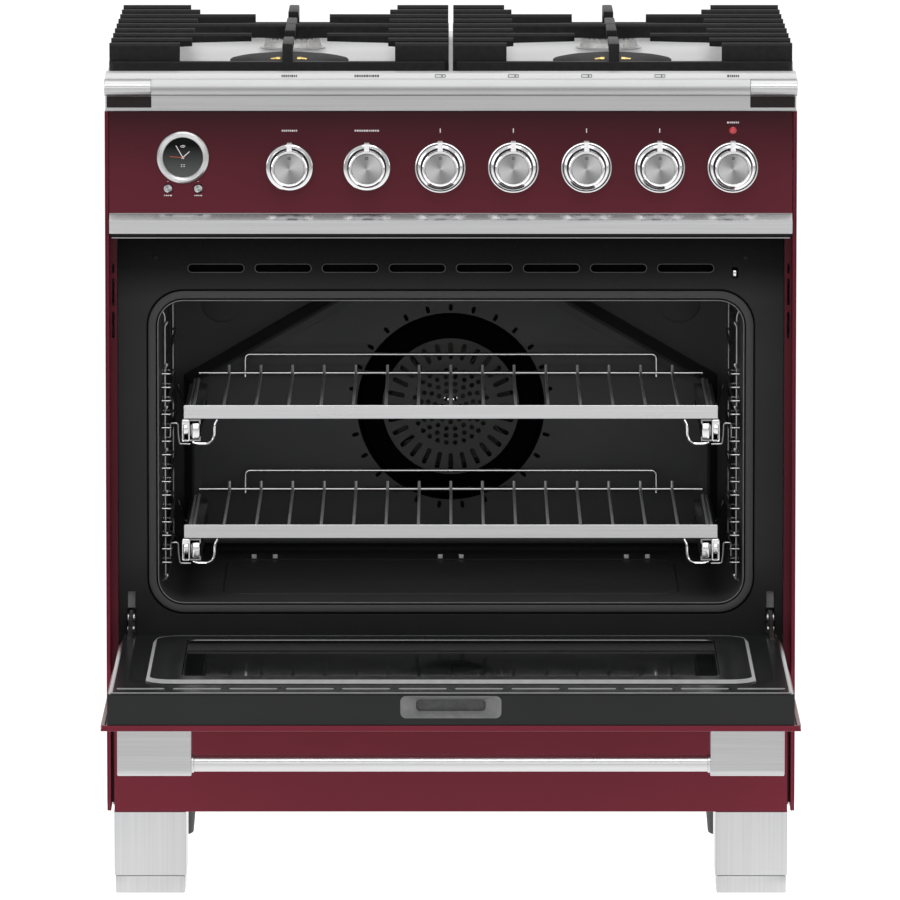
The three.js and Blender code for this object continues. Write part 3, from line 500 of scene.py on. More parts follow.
def plain(name, slot, colour, roughness, **sockets):
    """A moulded or printed finish with a slight unevenness of tone."""
    made = Finish(name, slot, colour, roughness, **sockets)
    tone = made.noise(220, 2)
    made.set("Base Color", made.ramp(tone, (0.3, tuple(0.85 * c for c in colour)), (0.7, colour)))
    return made.bump(made.noise(1500, 1), 0.05, 0.0001)


FINISHES = {
    "red": enamel(
        "red_enamel", "red_enamel", (0.142, 0.0125, 0.0260), (0.156, 0.0135, 0.0285),
        (0.17, 0.012, 0.026), 0.22, 0.15, 0.03,
        # Painted shade: the red coat darkens towards the top of the appliance, where less light falls.
        ((0.09, 1.0), (0.25, 0.95), (0.40, 0.72), (0.87, 0.68)),
    ),
    "panel": enamel(
        "panel_enamel", "red_enamel", (0.095, 0.0112, 0.0205), (0.104, 0.0119, 0.0220),
        (0.11, 0.008, 0.018), 0.22, 0.15, 0.03,
        # Painted shade: the panel darkens towards its top, under the trim's overhang.
        ((0.755, 1.0), (0.806, 0.82), (0.845, 0.5), (0.868, 0.24)),
    ),
    "black": enamel(
        "black_enamel", "black_enamel", (0.015, 0.0155, 0.016), (0.019, 0.0195, 0.020),
        steel(0.05), 0.34, 0.08, 0.03,
    ),
    # Painted shade: a near-black, almost unreflecting enamel for recesses, and for sheets put where there
    # is only shade.
    "painted_shade": enamel(
        "unlit_recess", "black_enamel", grey(0.0016, 0.0001), grey(0.0024, 0.0001),
        grey(0.004), 0.6, 0.02, 0.02,
    ),
    "frame": enamel(
        "frame_enamel", "black_enamel", (0.029, 0.0295, 0.030), (0.034, 0.0345, 0.035),
        steel(0.07), 0.36, 0.03, 0.02,
        # Painted shade: the frame darkens a little near its bottom and strongly at its top, under the
        # rail's overhang.
        ((0.29, 0.5), (0.33, 0.62), (0.37, 1.0), (0.655, 1.0), (0.69, 0.34), (0.728, 0.10)),
    ),
    "door": enamel(
        "door_enamel", "black_enamel", (0.010, 0.0105, 0.011), (0.013, 0.0135, 0.014),
        grey(0.03, 0.002), 0.20, 0.25, 0.006,
    ),
    "cavity": enamel(
        "cavity_enamel", "black_enamel", (0.098, 0.0985, 0.099), (0.116, 0.1165, 0.117),
        steel(0.17), 0.42, 0.10, 0.06,
        # Painted shade: the cavity's enamel darkens towards its floor.
        ((0.315, 0.40), (0.36, 0.60), (0.45, 1.0), (0.664, 1.0)),
    ),
    "guard": enamel(
        "guard_enamel", "black_enamel", (0.085, 0.086, 0.087), (0.100, 0.101, 0.102),
        steel(0.15), 0.40, 0.12, 0.04,
    ),
    "stainless": brushed(
        "brushed_stainless", "stainless", steel(0.40), steel(0.47), 0.30, (4, 900, 900),
    ),
    "bright": brushed(
        "bright_stainless", "stainless", steel(0.50), steel(0.57), 0.28, (4, 700, 700),
    ),
    "band": brushed(
        "rack_band_steel", "chrome", steel(0.60), steel(0.66), 0.28, (4, 700, 700),
    ),
    "nose": enamel(
        "trim_nose_steel", "stainless", steel(0.60), steel(0.64), steel(0.66),
        0.36, 0.3, 0.0,
        # Painted reflection: bright and dark bands across the rounded nose, from its dark underside to its
        # bright top.
        ((0.8844, 0.16), (0.8864, 0.73), (0.8880, 0.97), (0.8897, 0.8), (0.8919, 0.5), (0.8930, 0.47),
         (0.8952, 0.73), (0.8963, 0.97), (0.9030, 1.0)),
    ),
    "polished": brushed(
        "polished_stainless", "stainless", (0.46, 0.455, 0.46), (0.52, 0.515, 0.52), 0.14,
        (4, 900, 900), 0.02,
    ),
    "legs": brushed(
        "leg_stainless", "stainless", (0.46, 0.465, 0.47), (0.52, 0.525, 0.53), 0.3, (500, 500, 4),
    ),
    "lip": brushed(
        "hob_stainless", "stainless", steel(0.72), steel(0.80), 0.34, (4, 500, 500), 0.02,
        Metallic=0.85,
    ),
    "strip": brushed(
        "hob_edge_steel", "stainless", steel(0.56), steel(0.61), 0.42, (4, 500, 500), 0.02,
        Metallic=0.3,
    ),
    "pointer": brushed(
        "pointer_steel", "chrome", steel(0.82), steel(0.88), 0.4, (4, 500, 500), 0.02,
        Metallic=0.2,
    ),
    "rod": brushed(
        "rack_wire", "chrome", steel(0.62), steel(0.72), 0.3, (60, 60, 60), 0.02, Metallic=0.3
    ),
    "satin": brushed("satin_steel", "satin_steel", steel(0.42), steel(0.49), 0.32, (5, 800, 800)),
    "chrome": brushed(
        "chrome_plate", "chrome", grey(0.80, 0.01), grey(0.88, 0.01), 0.1, (60, 60, 60), 0.02
    ),
    "spun": spun("spun_metal", "satin_steel", steel(0.40), steel(0.58), 0.26),
    "iron": cast("cast_iron", "cast_iron", grey(0.006, 0.0005), grey(0.012, 0.0005), 0.5, 1300, 0.3),
    "dome": cast("dome_enamel", "cast_iron", grey(0.004, 0.0002), grey(0.007, 0.0002), 0.6, 1300, 0.1),
    "alloy": cast(
        "burner_alloy", "burner_alloy", grey(0.66, -0.01), grey(0.78, -0.01), 0.4, 1600, 0.10, 0.5
    ),
    "galvanised": galvanised("galvanised_steel", "galvanised"),
    "brass": brushed("brass", "brass", (0.62, 0.44, 0.14), (0.80, 0.60, 0.25), 0.25, (40, 40, 40)),
    "wire": brushed("dull_chrome", "chrome", steel(0.30), steel(0.42), 0.28, (60, 60, 60), 0.02),
    "ceramic": plain("igniter_ceramic", "white_marking", (0.62, 0.60, 0.56), 0.45),
    "grip": cast(
        "satin_grey", "dark_plastic", (0.075, 0.076, 0.078), (0.11, 0.111, 0.113), 0.42, 900, 0.05
    ),
    # Painted highlight: a light grey for edges and slopes of the inner door's black enamel that catch the
    # light.
    "ridge": cast("painted_highlight_grey", "satin_steel", grey(0.32, 0.003), grey(0.37, 0.003), 0.4, 900, 0.03),
    "recess": cast(
        "recess_grey", "dark_plastic", (0.15, 0.151, 0.153), (0.19, 0.191, 0.193), 0.42, 900, 0.04
    ),
    "glass": glass("dark_glass", "dark_glass", (0.0035, 0.0038, 0.004), 0.06),
    "plastic": cast(
        "moulded_plastic", "dark_plastic", grey(0.035, 0.001), grey(0.06, 0.002), 0.55, 1100, 0.1
    ),
    # Umber: the knob cores' dark plastic; the same finish makes painted reflections under the trim's end
    # caps.
    "umber": cast(
        "umber_plastic_and_painted_reflection", "dark_plastic", (0.009, 0.0045, 0.005), (0.013, 0.007, 0.0075), 0.4, 900, 0.05
    ),
    "seal": weave("fibre_seal", "seal", grey(0.035, 0.001), grey(0.065, 0.002)),
    "print": plain("white_print", "white_marking", (0.72, 0.68, 0.70), 0.6),
    "ink": plain("dark_print", "dark_plastic", grey(0.03), 0.6),
    "lens": plain(
        "red_lens", "red_lens", (0.50, 0.008, 0.02), 0.15, Coat_Weight=1.0, Specular_IOR_Level=0.6
    ),
    "orange": plain("orange_print", "red_lens", (0.70, 0.13, 0.05), 0.5),
    "display": display("clock_display", "clock_display"),
    # Oxidised element sheath; on the fan wheel the same dark finish is painted shade.
    "sheath": brushed(
        "oxidised_sheath_and_fan_shade", "stainless", (0.05, 0.048, 0.046), (0.10, 0.095, 0.09), 0.5, (80, 80, 80)
    ),
}


def piece(name, parts, finish, body, stands_for=(), centre=(0, 0, 0), facet=FACET):
    """Joins parts into one piece of the appliance, which rides on a body of the model."""
    shape = bmesh.new()
    for part in parts:
        shape.from_mesh(part)
        bpy.data.meshes.remove(part)
    bmesh.ops.remove_doubles(shape, verts=shape.verts, dist=0.004)
    bmesh.ops.dissolve_degenerate(shape, edges=shape.edges, dist=0.002)
    bmesh.ops.recalc_face_normals(shape, faces=shape.faces)
    bmesh.ops.translate(shape, vec=-Vector(centre), verts=shape.verts)
    bmesh.ops.scale(shape, vec=(MM, MM, MM), verts=shape.verts)
    mesh = bpy.data.meshes.new(name)
    shape.to_mesh(mesh)
    shape.free()
    mesh.shade_smooth()
    mesh.set_sharp_from_angle(angle=math.radians(facet))
    mesh.materials.append(FINISHES[finish].material)
    made = bpy.data.objects.new(name, mesh)
    made.location = Vector(centre) * MM + Vector((0, FRONT, 0))
    bpy.context.scene.collection.objects.link(made)
    if stands_for:
        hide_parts(*stands_for)
    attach(made, body)
    return made


def dress(node, finish):
    """Gives a CAD node a finer material."""
    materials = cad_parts[node].data.materials
    for i in range(len(materials)):
        materials[i] = FINISHES[finish].material


# ---------------------------------------------------------------- camera and light
def look(place, target):
    return (Vector(target) - Vector(place)).to_track_quat("-Z", "Y").to_euler()


def studio():
    """A camera at eye height far in front, a pale floor that glows as painted light, most round the
    appliance, and broad soft lights.
    """
    scene = bpy.context.scene
    camera = bpy.data.objects.new("camera", bpy.data.cameras.new("camera"))
    camera.location = (-0.0009, FRONT - 11.7758, 1.9248)
    camera.rotation_euler = (math.radians(90 - 6.93), 0, 0)
    camera.data.lens = 431.45
    camera.data.sensor_width = 36
    camera.data.clip_end = 200
    scene.collection.objects.link(camera)
    scene.camera = camera
    scene.view_settings.view_transform = "Standard"

    lights = (
        ("overhead", (0.2, -0.6, 4.2), (0, 0.1, 0.6), (3.4, 2.6), 32),
        ("left", (-3.6, -2.6, 2.2), (0, 0, 0.6), (1.6, 2.6), 24),
        ("right", (3.6, -2.8, 2.0), (0, 0, 0.6), (1.6, 2.6), 17),
        ("front_high", (0.5, -5.0, 5.2), (0, 0, 0.6), (3.0, 1.8), 60),
        ("front_low", (-0.5, -9.5, 1.9), (0, 0, 0.6), (7.0, 3.0), 85),
    )
    for name, place, target, (wide, high), power in lights:
        lamp = bpy.data.lights.new(name, "AREA")
        lamp.shape = "RECTANGLE"
        lamp.size, lamp.size_y = wide, high
        lamp.energy = power
        holder = bpy.data.objects.new(name, lamp)
        holder.location = place
        holder.rotation_euler = look(place, target)
        holder.visible_camera = False
        scene.collection.objects.link(holder)

    world = bpy.data.worlds.new("studio")
    scene.world = world
    world.use_nodes = True
    tree = world.node_tree
    background = tree.nodes["Background"]
    direction = tree.nodes.new("ShaderNodeTexCoord").outputs["Generated"]
    split = tree.nodes.new("ShaderNodeSeparateXYZ")
    tree.links.new(direction, split.inputs["Vector"])
    brighter = tree.nodes.new("ShaderNodeMath")
    brighter.operation = "MAXIMUM"
    ramps = (("Z", -0.1, 0.75, 0.36, 0.75), ("Y", 0.0, 0.6, 0.3, 1.0))
    for i, (axis, start, end, low, high) in enumerate(ramps):
        ramp = tree.nodes.new("ShaderNodeMapRange")
        tree.links.new(split.outputs[axis], ramp.inputs["Value"])
        for socket, value in (("From Min", start), ("From Max", end), ("To Min", low), ("To Max", high)):
            ramp.inputs[socket].default_value = value
        tree.links.new(ramp.outputs["Result"], brighter.inputs[i])
    tree.links.new(brighter.outputs["Value"], background.inputs["Strength"])
    background.inputs["Color"].default_value = (1, 1, 1, 1)

    floor = bpy.data.objects.new("floor", from_points(
        [(-60, -60, 0), (60, -60, 0), (60, 60, 0), (-60, 60, 0)], [(0, 1, 2, 3)]
    ))
    scene.collection.objects.link(floor)
    pale = Finish("studio_floor", None, grey(0.50), 0.9, Specular_IOR_Level=0.1)
    depth = pale.add("SeparateXYZ", Vector=pale.place).outputs["Y"]
    reach = pale.add("VectorMath", {"operation": "LENGTH"}, Vector=pale.place).outputs["Value"]
    # Painted light: the floor glows, brighter towards the back and most round the appliance, which
    # lightens the appliance's shadow there.
    broad = pale.add("MapRange", Value=depth, From_Min=-5.5, From_Max=-0.3, To_Min=0.05, To_Max=0.65)
    near = pale.add("MapRange", Value=reach, From_Min=1.15, From_Max=0.5, To_Min=0.0, To_Max=0.5)
    pale.shader.inputs["Emission Color"].default_value = (1, 1, 1, 1)
    pale.set("Emission Strength", pale.maths("ADD", broad.outputs["Result"], near.outputs["Result"]))
    floor.data.materials.append(pale.material)


studio()


# ---------------------------------------------------------------- casing
def side_panel(side, sign):
    """A painted skin with a folded front edge, and a slotted flange behind the door's edge."""
    s = span(f"side_panel_{side}")
    outer = span("side_panel_right").x1
    flange = span("side_panel_right").x0
    fold = 4.5
    fold_back = span("front_frame").y1
    skin = [(s.y0, s.z0 + 13), (s.y0 + 7, s.z0), (s.y1, s.z0), (s.y1, s.z1), (s.y0, s.z1)]
    edge = [
        (s.y0, s.z0 + 13), (s.y0 + 7, s.z0), (fold_back, s.z0), (fold_back, s.z1), (s.y0, s.z1),
    ]
    louvres = [
        rounded(y, y + 60, s.z1 - 60 - 14 * row, s.z1 - 56 - 14 * row, 2)
        for row in range(4)
        for y in (s.y1 - 120, s.y1 - 200)
    ]
    parts = [
        plate(skin, outer - SHEET, outer, "x", louvres, 0.5),
        plate(edge, outer - fold, outer - SHEET + 0.2, "x", (), 1.1),
    ]
    slots = [
        rounded(flange + 3.4, flange + 6, low, high, 1.2)
        for low, high in ((612, 641.5), (648.5, 678.5), (684.5, 695))
    ]
    behind = span("front_frame").y0 + 1
    rail = span("panel_rail").z1 - 25
    parts.append(plate(
        rounded(flange, outer - 2, s.z0 + 4, rail, 1), behind, behind + SHEET, "y", slots, 0.3
    ))
    piece(f"side_{side}", sided(parts, sign), "red", "chassis", [f"side_panel_{side}"])
    fasteners = []
    for z in (s.z0 + 40, (s.z0 + s.z1) / 2, s.z1 - 30):
        fasteners += screw(outer - 0.2, s.y1 - 12, z, 3.5, "x", 1)
    piece(f"side_{side}_screws", sided(fasteners, sign), "galvanised", "chassis")


def rear_panel():
    """Back sheet with louvres, pressed ribs, its screws and a hole for the gas feed."""
    s = span("rear_panel")
    louvres = [(x, z) for x in range(-250, 251, 100) for z in (764, 744, 724)]
    openings = [rounded(x - 30, x + 30, z - 4, z + 4, 4) for x, z in louvres]
    openings.append(circle(FEED_X, KNOB_Z, 12))
    sheet = plate(rounded(s.x0, s.x1, s.z0, s.z1, 2), s.y0, s.y1, "y", openings, 0.3)
    hoods = [
        plate(rounded(x - 31, x + 31, z + 3.2, z + 6.2, 1.4), s.y0 - 4, s.y0 + 0.6, "y", (), 0.6)
        for x, z in louvres
    ]
    ribs = [
        moulding((-300, 300, z, z + 90), [(0, s.y0), (3, s.y0 - 2.5), (6, s.y0 - 2.5), (9, s.y0)], "y", 20)
        for z in (180, 330, 480)
    ]
    piece("back_sheet", [sheet, *hoods, *ribs], "galvanised", "chassis", ["rear_panel"])
    fasteners = []
    for x in (-352, -176, 0, 176, 352):
        for z in (s.z0 + 14, s.z1 - 14):
            fasteners += screw(x, s.y1 - 0.6, z, 3.4, "y", -1)
    piece("back_screws", fasteners, "chrome", "chassis")


def vent_shade_sheets():
    """Painted shade: dark sheets behind the side panels' slots, for the dark inside of the body, so that
    nothing shows through it.
    """
    shade_sheets = both(block(360, 361, 425, 580, 750, 860, 0.3))
    piece("vent_shade_sheets", shade_sheets, "painted_shade", "chassis")


def kept_nodes():
    """Finer materials for the CAD nodes whose shape stays."""
    dress("base_pan", "galvanised")
    dress("fan_motor", "galvanised")
    dress("gas_manifold", "brass")


def front_frame():
    """Enamelled frame with cooling slots, hinge and lock slots, and a pressed bead round the mouth."""
    s = span("front_frame")
    outline = [(s.x0, s.z0)]
    for slot in (-HINGE_X, HINGE_X):
        left, right = slot - HINGE_HALF, slot + HINGE_HALF
        outline += [(left, s.z0), (left, HINGE_TOP), (right, HINGE_TOP), (right, s.z0)]
    outline += [(s.x1, s.z0), (s.x1, s.z1), (s.x0, s.z1)]
    vents_at = spaced(73.9, 8)
    vents = [rounded(x - 31, x + 31, 685.4, 694.6, 4.5) for x in vents_at]
    lock = rounded(309.3, 316.8, 679, 691, 1.5)
    groove = rounded(-335.8, 335.8, 305.3, 667, 40.5, 10)
    hole = rounded(*MOUTH, MOUTH_CORNER, 10)
    back = plate(outline, s.y0 + 1.4, s.y1, "y", [hole, *vents, lock], 0.3)
    front = plate(outline, s.y0, s.y0 + 1.8, "y", [groove, *vents, lock], 0.5)
    beaded = [(0, 3), (0, -0.4), (0.4, -0.8), (1.1, -0.4), (1.1, 3)]
    lip = moulding(MOUTH, [(grown, s.y0 + depth) for grown, depth in beaded], "y", MOUTH_CORNER, 10)
    piece("oven_frame", [back, front], "frame", "chassis", ["front_frame"])
    # Painted highlight: the bead round the mouth is a light grey, lighter than the frame's black enamel,
    # where its edge catches the light.
    piece("mouth_lip", [lip], "recess", "chassis", facet=40)
    # Painted shade: the sunk channel round the mouth is near-black.
    sunk = [(1.2, 0.9), (1.2, 1.35), (12.7, 1.35), (12.7, 0.9)]
    channel = moulding(MOUTH, [(grown, s.y0 + depth) for grown, depth in sunk], "y", MOUTH_CORNER, 10)
    piece("seal_channel", [channel], "painted_shade", "chassis")
    # Painted highlight: the slots' edges are a lighter grey than the frame's black enamel round them.
    edges = [tube([(u, s.y0 - 0.05, v) for u, v in vent], 0.4, loop=True, sides=1) for vent in vents]
    piece("vent_edges", edges, "guard", "chassis", facet=40)
    # Painted shade: near-black plates behind the cooling slots, so that the slots read dark.
    dark = [plate(rounded(x - 33, x + 33, 683, 697, 6), s.y1 + 6, s.y1 + 7, "y") for x in vents_at]
    piece("vent_shade_plates", dark, "painted_shade", "chassis")
    latch = [
        block(311, 314.6, s.y0 + 2, s.y0 + 9, 680.5, 687, 0.6),
        block(311.6, 314, s.y0 - 0.5, s.y0 + 4, 681, 683, 0.4),
    ]
    piece("lock_tongue", latch, "chrome", "chassis")
    fasteners = []
    for x in (-325, 325):
        fasteners += screw(x, s.y0, 702, 2.6)
    piece("frame_screws", fasteners, "black", "chassis")


def gasket():
    """Woven seal: a soft convex band in the channel round the mouth."""
    s = span("door_gasket")
    half = 4.1
    swell = 1.1
    inset = half + 1.5
    rect = (s.x0 + inset, s.x1 - inset, s.z0 + inset, s.z1 - inset)
    middle_y = (s.y0 + s.y1) / 2
    section = [
        (half * math.cos(t), middle_y + (middle_y - s.y0) * swell * math.sin(t))
        for t in (i * math.pi / 7 for i in range(14))
    ]
    piece("seal", [moulding(rect, section, "y", 35, 12)], "seal", "chassis", ["door_gasket"], facet=40)


# ---------------------------------------------------------------- oven
def liner():
    """Oven liner, its floor, walls and ceiling running round into the back wall."""
    s = span("oven_liner")
    x0, x1, z0, z1 = MOUTH

    def section(y, inset, top):
        outline = rounded(x0 + inset, x1 - inset, z0 + inset, top - inset, MOUTH_CORNER, 10)
        return lifted(outline, y, "y")

    back = s.y1 - 2
    inside = [section(s.y0, 0, z1), section(s.y0 + 4, 0, z1), section(s.y0 + 9, 0, CEILING)]
    bend = 12
    inside += [
        section(back - bend + bend * math.sin(t), bend - bend * math.cos(t), CEILING)
        for t in (0, 0.5, 1.0, 1.4)
    ]
    outside = [section(s.y1, 0, CEILING), section(s.y0 + 6, -2, CEILING), section(s.y0, -2, z1)]
    piece("oven_cavity", [loft([*outside, *inside])], "cavity", "chassis", ["oven_liner"], facet=40)
    bead = [(0, z0 + 0.2), (1.2, z0 + 1.2), (3, z0 + 1.2), (4.2, z0 + 0.2)]
    piece("floor_bead", [moulding((-250, 250, 110, 400), bead, "z", 30)], "cavity", "chassis")
    lens = [(0, 1.6), (22, 1.4), (24.4, 0.6), (25, 0), (25, -1), (0, -1)]
    lamps = [lathe(lens, (x, back, 606), True) for x in (-261, 261)]
    piece("lamp_lenses", lamps, "cavity", "chassis", facet=40)
    tabs = []
    for x in (-212, 0, 212):
        for side in (-12, 12):
            tabs.append(block(x + side - 3, x + side + 3, 404, 407, z0 + 1, z0 + 6, 0.6))
    piece("floor_tabs", tabs, "satin", "chassis")


def baffle_outline(inset):
    """The fan baffle's outline, its upper corners cut off at a slant."""
    half, low, high, shoulder, flat = 305, 323, 660, 522, 66
    return [
        (-half + inset, low + inset), (half - inset, low + inset),
        (half - inset, shoulder - 0.55 * inset), (flat - 0.3 * inset, high - inset),
        (-flat + 0.3 * inset, high - inset), (-half + inset, shoulder - 0.55 * inset),
    ]


def fan_baffle():
    """Fan baffle: a shallow tray, a dished opening, and a slotted guard in front of the fan."""
    s = span("fan_baffle")
    y = s.y0
    dish, guard = 107, 78
    dash = rounded(-2.1, 2.1, FAN_Z + 109.5, FAN_Z + 117.5, 2.1, 3)
    holes = [turned(dash, 360 * i / 27, 0, FAN_Z) for i in range(27)]
    holes.append(circle(0, FAN_Z, dish, 96))
    face = plate(baffle_outline(12), y, y + 1.6, "y", holes, 0.3)
    profile = [(0, s.y1 - 0.5), (9.5, y + 2.2), (12, y), (13.5, y + 0.4), (11, y + 4), (2, s.y1 - 0.3)]
    flange = loft([lifted(baffle_outline(inset), depth, "y") for inset, depth in profile], loop=True)
    slope = lathe(
        [(dish + 0.3, 0), (dish - 2.5, -1.5), (102, -13), (102, -15), (104, -15), (dish + 0.3, -1.6)],
        (0, y, FAN_Z), True, 96, ring=True,
    )
    piece("fan_baffle_tray", [face], "cavity", "chassis", ["fan_baffle"])
    piece("fan_baffle_flange", [flange], "guard", "chassis")
    rim = plate(baffle_outline(12.4), y - 0.9, y - 0.1, "y", [baffle_outline(21)], 0.3)
    piece("fan_baffle_rim", [rim], "guard", "chassis")
    # Painted shade: the dish's sloping wall and a dark sheet behind the opening are near-black, for the
    # darkness round the fan.
    shade = plate(circle(0, FAN_Z, 104, 96), y + 15, y + 16, "y", [circle(0, FAN_Z, 72, 96)], 0.2)
    piece("fan_baffle_dish", [slope, shade], "painted_shade", "chassis", facet=40)

    slot = rounded(-2.6, 2.6, FAN_Z + 54, FAN_Z + 73, 2.6, 4)
    openings = [turned(slot, 360 * i / 28, 0, FAN_Z) for i in range(28)]
    for radius, count in ((10, 6), (18, 11), (26, 16), (34, 20), (42, 26)):
        for i in range(count):
            t = 2 * math.pi * (i + 0.5 * (radius % 4 == 2)) / count
            openings.append(circle(radius * math.sin(t), FAN_Z + radius * math.cos(t), 2.7, 10))
    disc = plate(circle(0, FAN_Z, guard, 96), y - 0.5, y + 1.2, "y", openings, 0.4)
    spokes = []
    for angle in (45, 135, 225, 315):
        arm = rounded(-3, 3, FAN_Z + guard - 6, FAN_Z + 104, 1)
        spokes.append(plate(turned(arm, angle, 0, FAN_Z), y + 12, y + 13.5, "y"))
    piece("fan_guard", [disc], "guard", "chassis")
    # Painted shade: the spokes in the opening are near-black too.
    piece("fan_guard_spokes", spokes, "painted_shade", "chassis")


def fan():
    """Fan wheel: leaning blades on a disc, with a bright nut on its hub."""
    s = span("fan_rotor")
    y = s.y0
    radius = 70
    disc = plate(circle(0, FAN_Z, radius, 64), y + 20, y + 21.5, "y")
    outwards = Matrix.Translation((0, 0, 48))
    blades = []
    for i in range(16):
        blade = block(-0.8, 0.8, y, y + 20.4, FAN_Z + 26, FAN_Z + radius - 1, 0.3, 1)
        turn = Matrix.Translation((0, 0, FAN_Z)) @ Matrix.Rotation(2 * math.pi * i / 16, 4, "Y")
        lean = outwards @ Matrix.Rotation(0.35, 4, "Y") @ outwards.inverted()
        blade.transform(turn @ lean @ Matrix.Translation((0, 0, -FAN_Z)))
        blades.append(blade)
    hub = lathe(
        [(0, 19), (3, 18.5), (5.5, 16), (6, 12), (11, 11), (11, -5), (4, -5), (4, -50), (0, -50)],
        (0, y + 20, FAN_Z), True, 24,
    )
    # Painted shade: the wheel takes the elements' dark oxidised finish so that it reads dark behind the
    # guard's slots.
    piece("fan_wheel", [disc, *blades], "sheath", "fan", ["fan_rotor"], (0, y, FAN_Z))
    piece("fan_hub", [hub], "chrome", "fan", (), (0, y, FAN_Z), 40)


def elements():
    """The heating elements: a ring round the fan, and a folded one under the ceiling."""
    ring = middle("convection_element")
    s = span("convection_element")
    radius = (s.x1 - s.x0) / 2 - 3.4
    y = s.y0 + 3.4
    path = [(radius * math.sin(t), y, ring[2] + radius * math.cos(t))
            for t in (math.radians(12 + 336 * i / 48) for i in range(49))]
    ends = [(path[0][0], s.y1, path[0][2]), (path[-1][0], s.y1, path[-1][2])]
    wire = tube([ends[0], *path, ends[1]], 3.4, sides=3)
    piece("ring_element", [wire], "sheath", "chassis", ["convection_element"])
    g = span("grill_element")
    reach, z = (g.x1 - g.x0) / 2 - 4, (g.z0 + g.z1) / 2
    rows = (120, 190, 260, 330)
    points = [(reach, g.y1, z)]
    for i, row in enumerate(reversed(rows)):
        ends = (reach, -reach) if i % 2 == 0 else (-reach, reach)
        points += [(ends[0], row, z), (ends[1], row, z)]
    points = points[:-1] + [(-points[-2][0], rows[0], z)]
    back = tube(softened(points, 30, 8), 3.4, sides=3)
    other = tube([(-reach, g.y1, z), (-reach, rows[-1] + 8, z)], 3.4, sides=3)
    piece("grill_heater", [back, other], "sheath", "chassis", ["grill_element"])


# ---------------------------------------------------------------- racks
def side_ladder(side, sign):
    """Wire ladder: two uprights with their feet, and short rungs doubled at the front."""
    s = span("side_rack_right")
    wire = 1.6
    x = s.x0 + 2.4
    wall = s.x1 - 1.6
    uprights = [
        tube([(wall + 3, y, s.z0 + 2), (wall, y, s.z0 + 8), (wall, y, s.z1 - 8), (wall + 3, y, s.z1 - 2)],
             wire, 4)
        for y in (s.y0 + 4, s.y1 - 4)
    ]
    rungs = [
        tube([(wall, s.y0 + 2, z - 6), (x, s.y0 + 2.5, z), (x, s.y1 - 2.5, z), (wall, s.y1 - 2, z - 6)],
             wire, 5)
        for z in (s.z0 + 10 + 47 * i for i in range(7))
    ]
    ends = []
    for z in (569.6 - 15 * i for i in range(15)):
        y = s.y0 - 2
        loop = [(wall + 3, y, z), (x - 4, y, z), (x - 4, y + 36, z), (wall + 3, y + 36, z)]
        ends.append(tube(loop, 1.1, 2))
    piece(f"ladder_{side}", sided([*uprights, *rungs, *ends], sign), "wire", "chassis",
          [f"side_rack_{side}"], facet=40)


def rack_slide(level, side, sign):
    """A rack's runner: a folded channel with bright ends, hung on the ladder by bent wires."""
    s = span(f"slide_{level}_right")
    rail = 297
    inner, top, low = s.x0, s.z1, s.z0
    y = s.y0
    section = [
        (inner, top), (rail, top), (rail, low), (inner, low), (inner, low + 5), (inner + 1.6, low + 5),
        (inner + 1.6, low + 1.6), (rail - 1.6, low + 1.6), (rail - 1.6, top - 1.6),
        (inner + 1.6, top - 1.6), (inner + 1.6, top - 5), (inner, top - 5),
    ]
    channel = loft([[(u, depth, v) for u, v in section] for depth in (y + 4, s.y1)])
    core = block(inner + 3, rail - 8, y + 6, s.y1 - 3, low + 5, top - 6, 1)
    outer_end = [
        plate(rounded(288.8, 297.8, low - 0.7, top + 0.9, 2.4), y, y + 5, "y",
              [rounded(290.6, 296.2, low + 1.4, top - 11, 1.6)], 0.8),
        block(290.4, 296.4, y - 1.6, y + 1, top - 16, top - 5, 1.4, 3),
    ]
    inner_end = block(277.8, 286.7, y - 1, y + 9, low + 2.8, top - 3.3, 1.6, 3)
    hook = [(310.6, y, top - 18.8), (310.6, y, top - 3.9), (302.2, y, top - 3.4), (301.7, y, top - 16.8),
            (300.2, y, top - 26.7), (288.3, y, top - 26.9)]
    y = s.y1 - 26
    rear_hook = [(rail - 1, y, low + 3), (rail + 6, y, low + 3), (rail + 13, y, top + 2)]
    wires = [tube(hook, 1.1, 2.5), tube(rear_hook, 1.1, 2.5)]
    piece(f"runner_{level}_{side}", sided([channel, core, *wires], sign), "wire", "chassis",
          [f"slide_{level}_{side}"], facet=30)
    ends = sided([*outer_end, inner_end], sign)
    piece(f"runner_end_{level}_{side}", ends, "chrome", "chassis", facet=40)


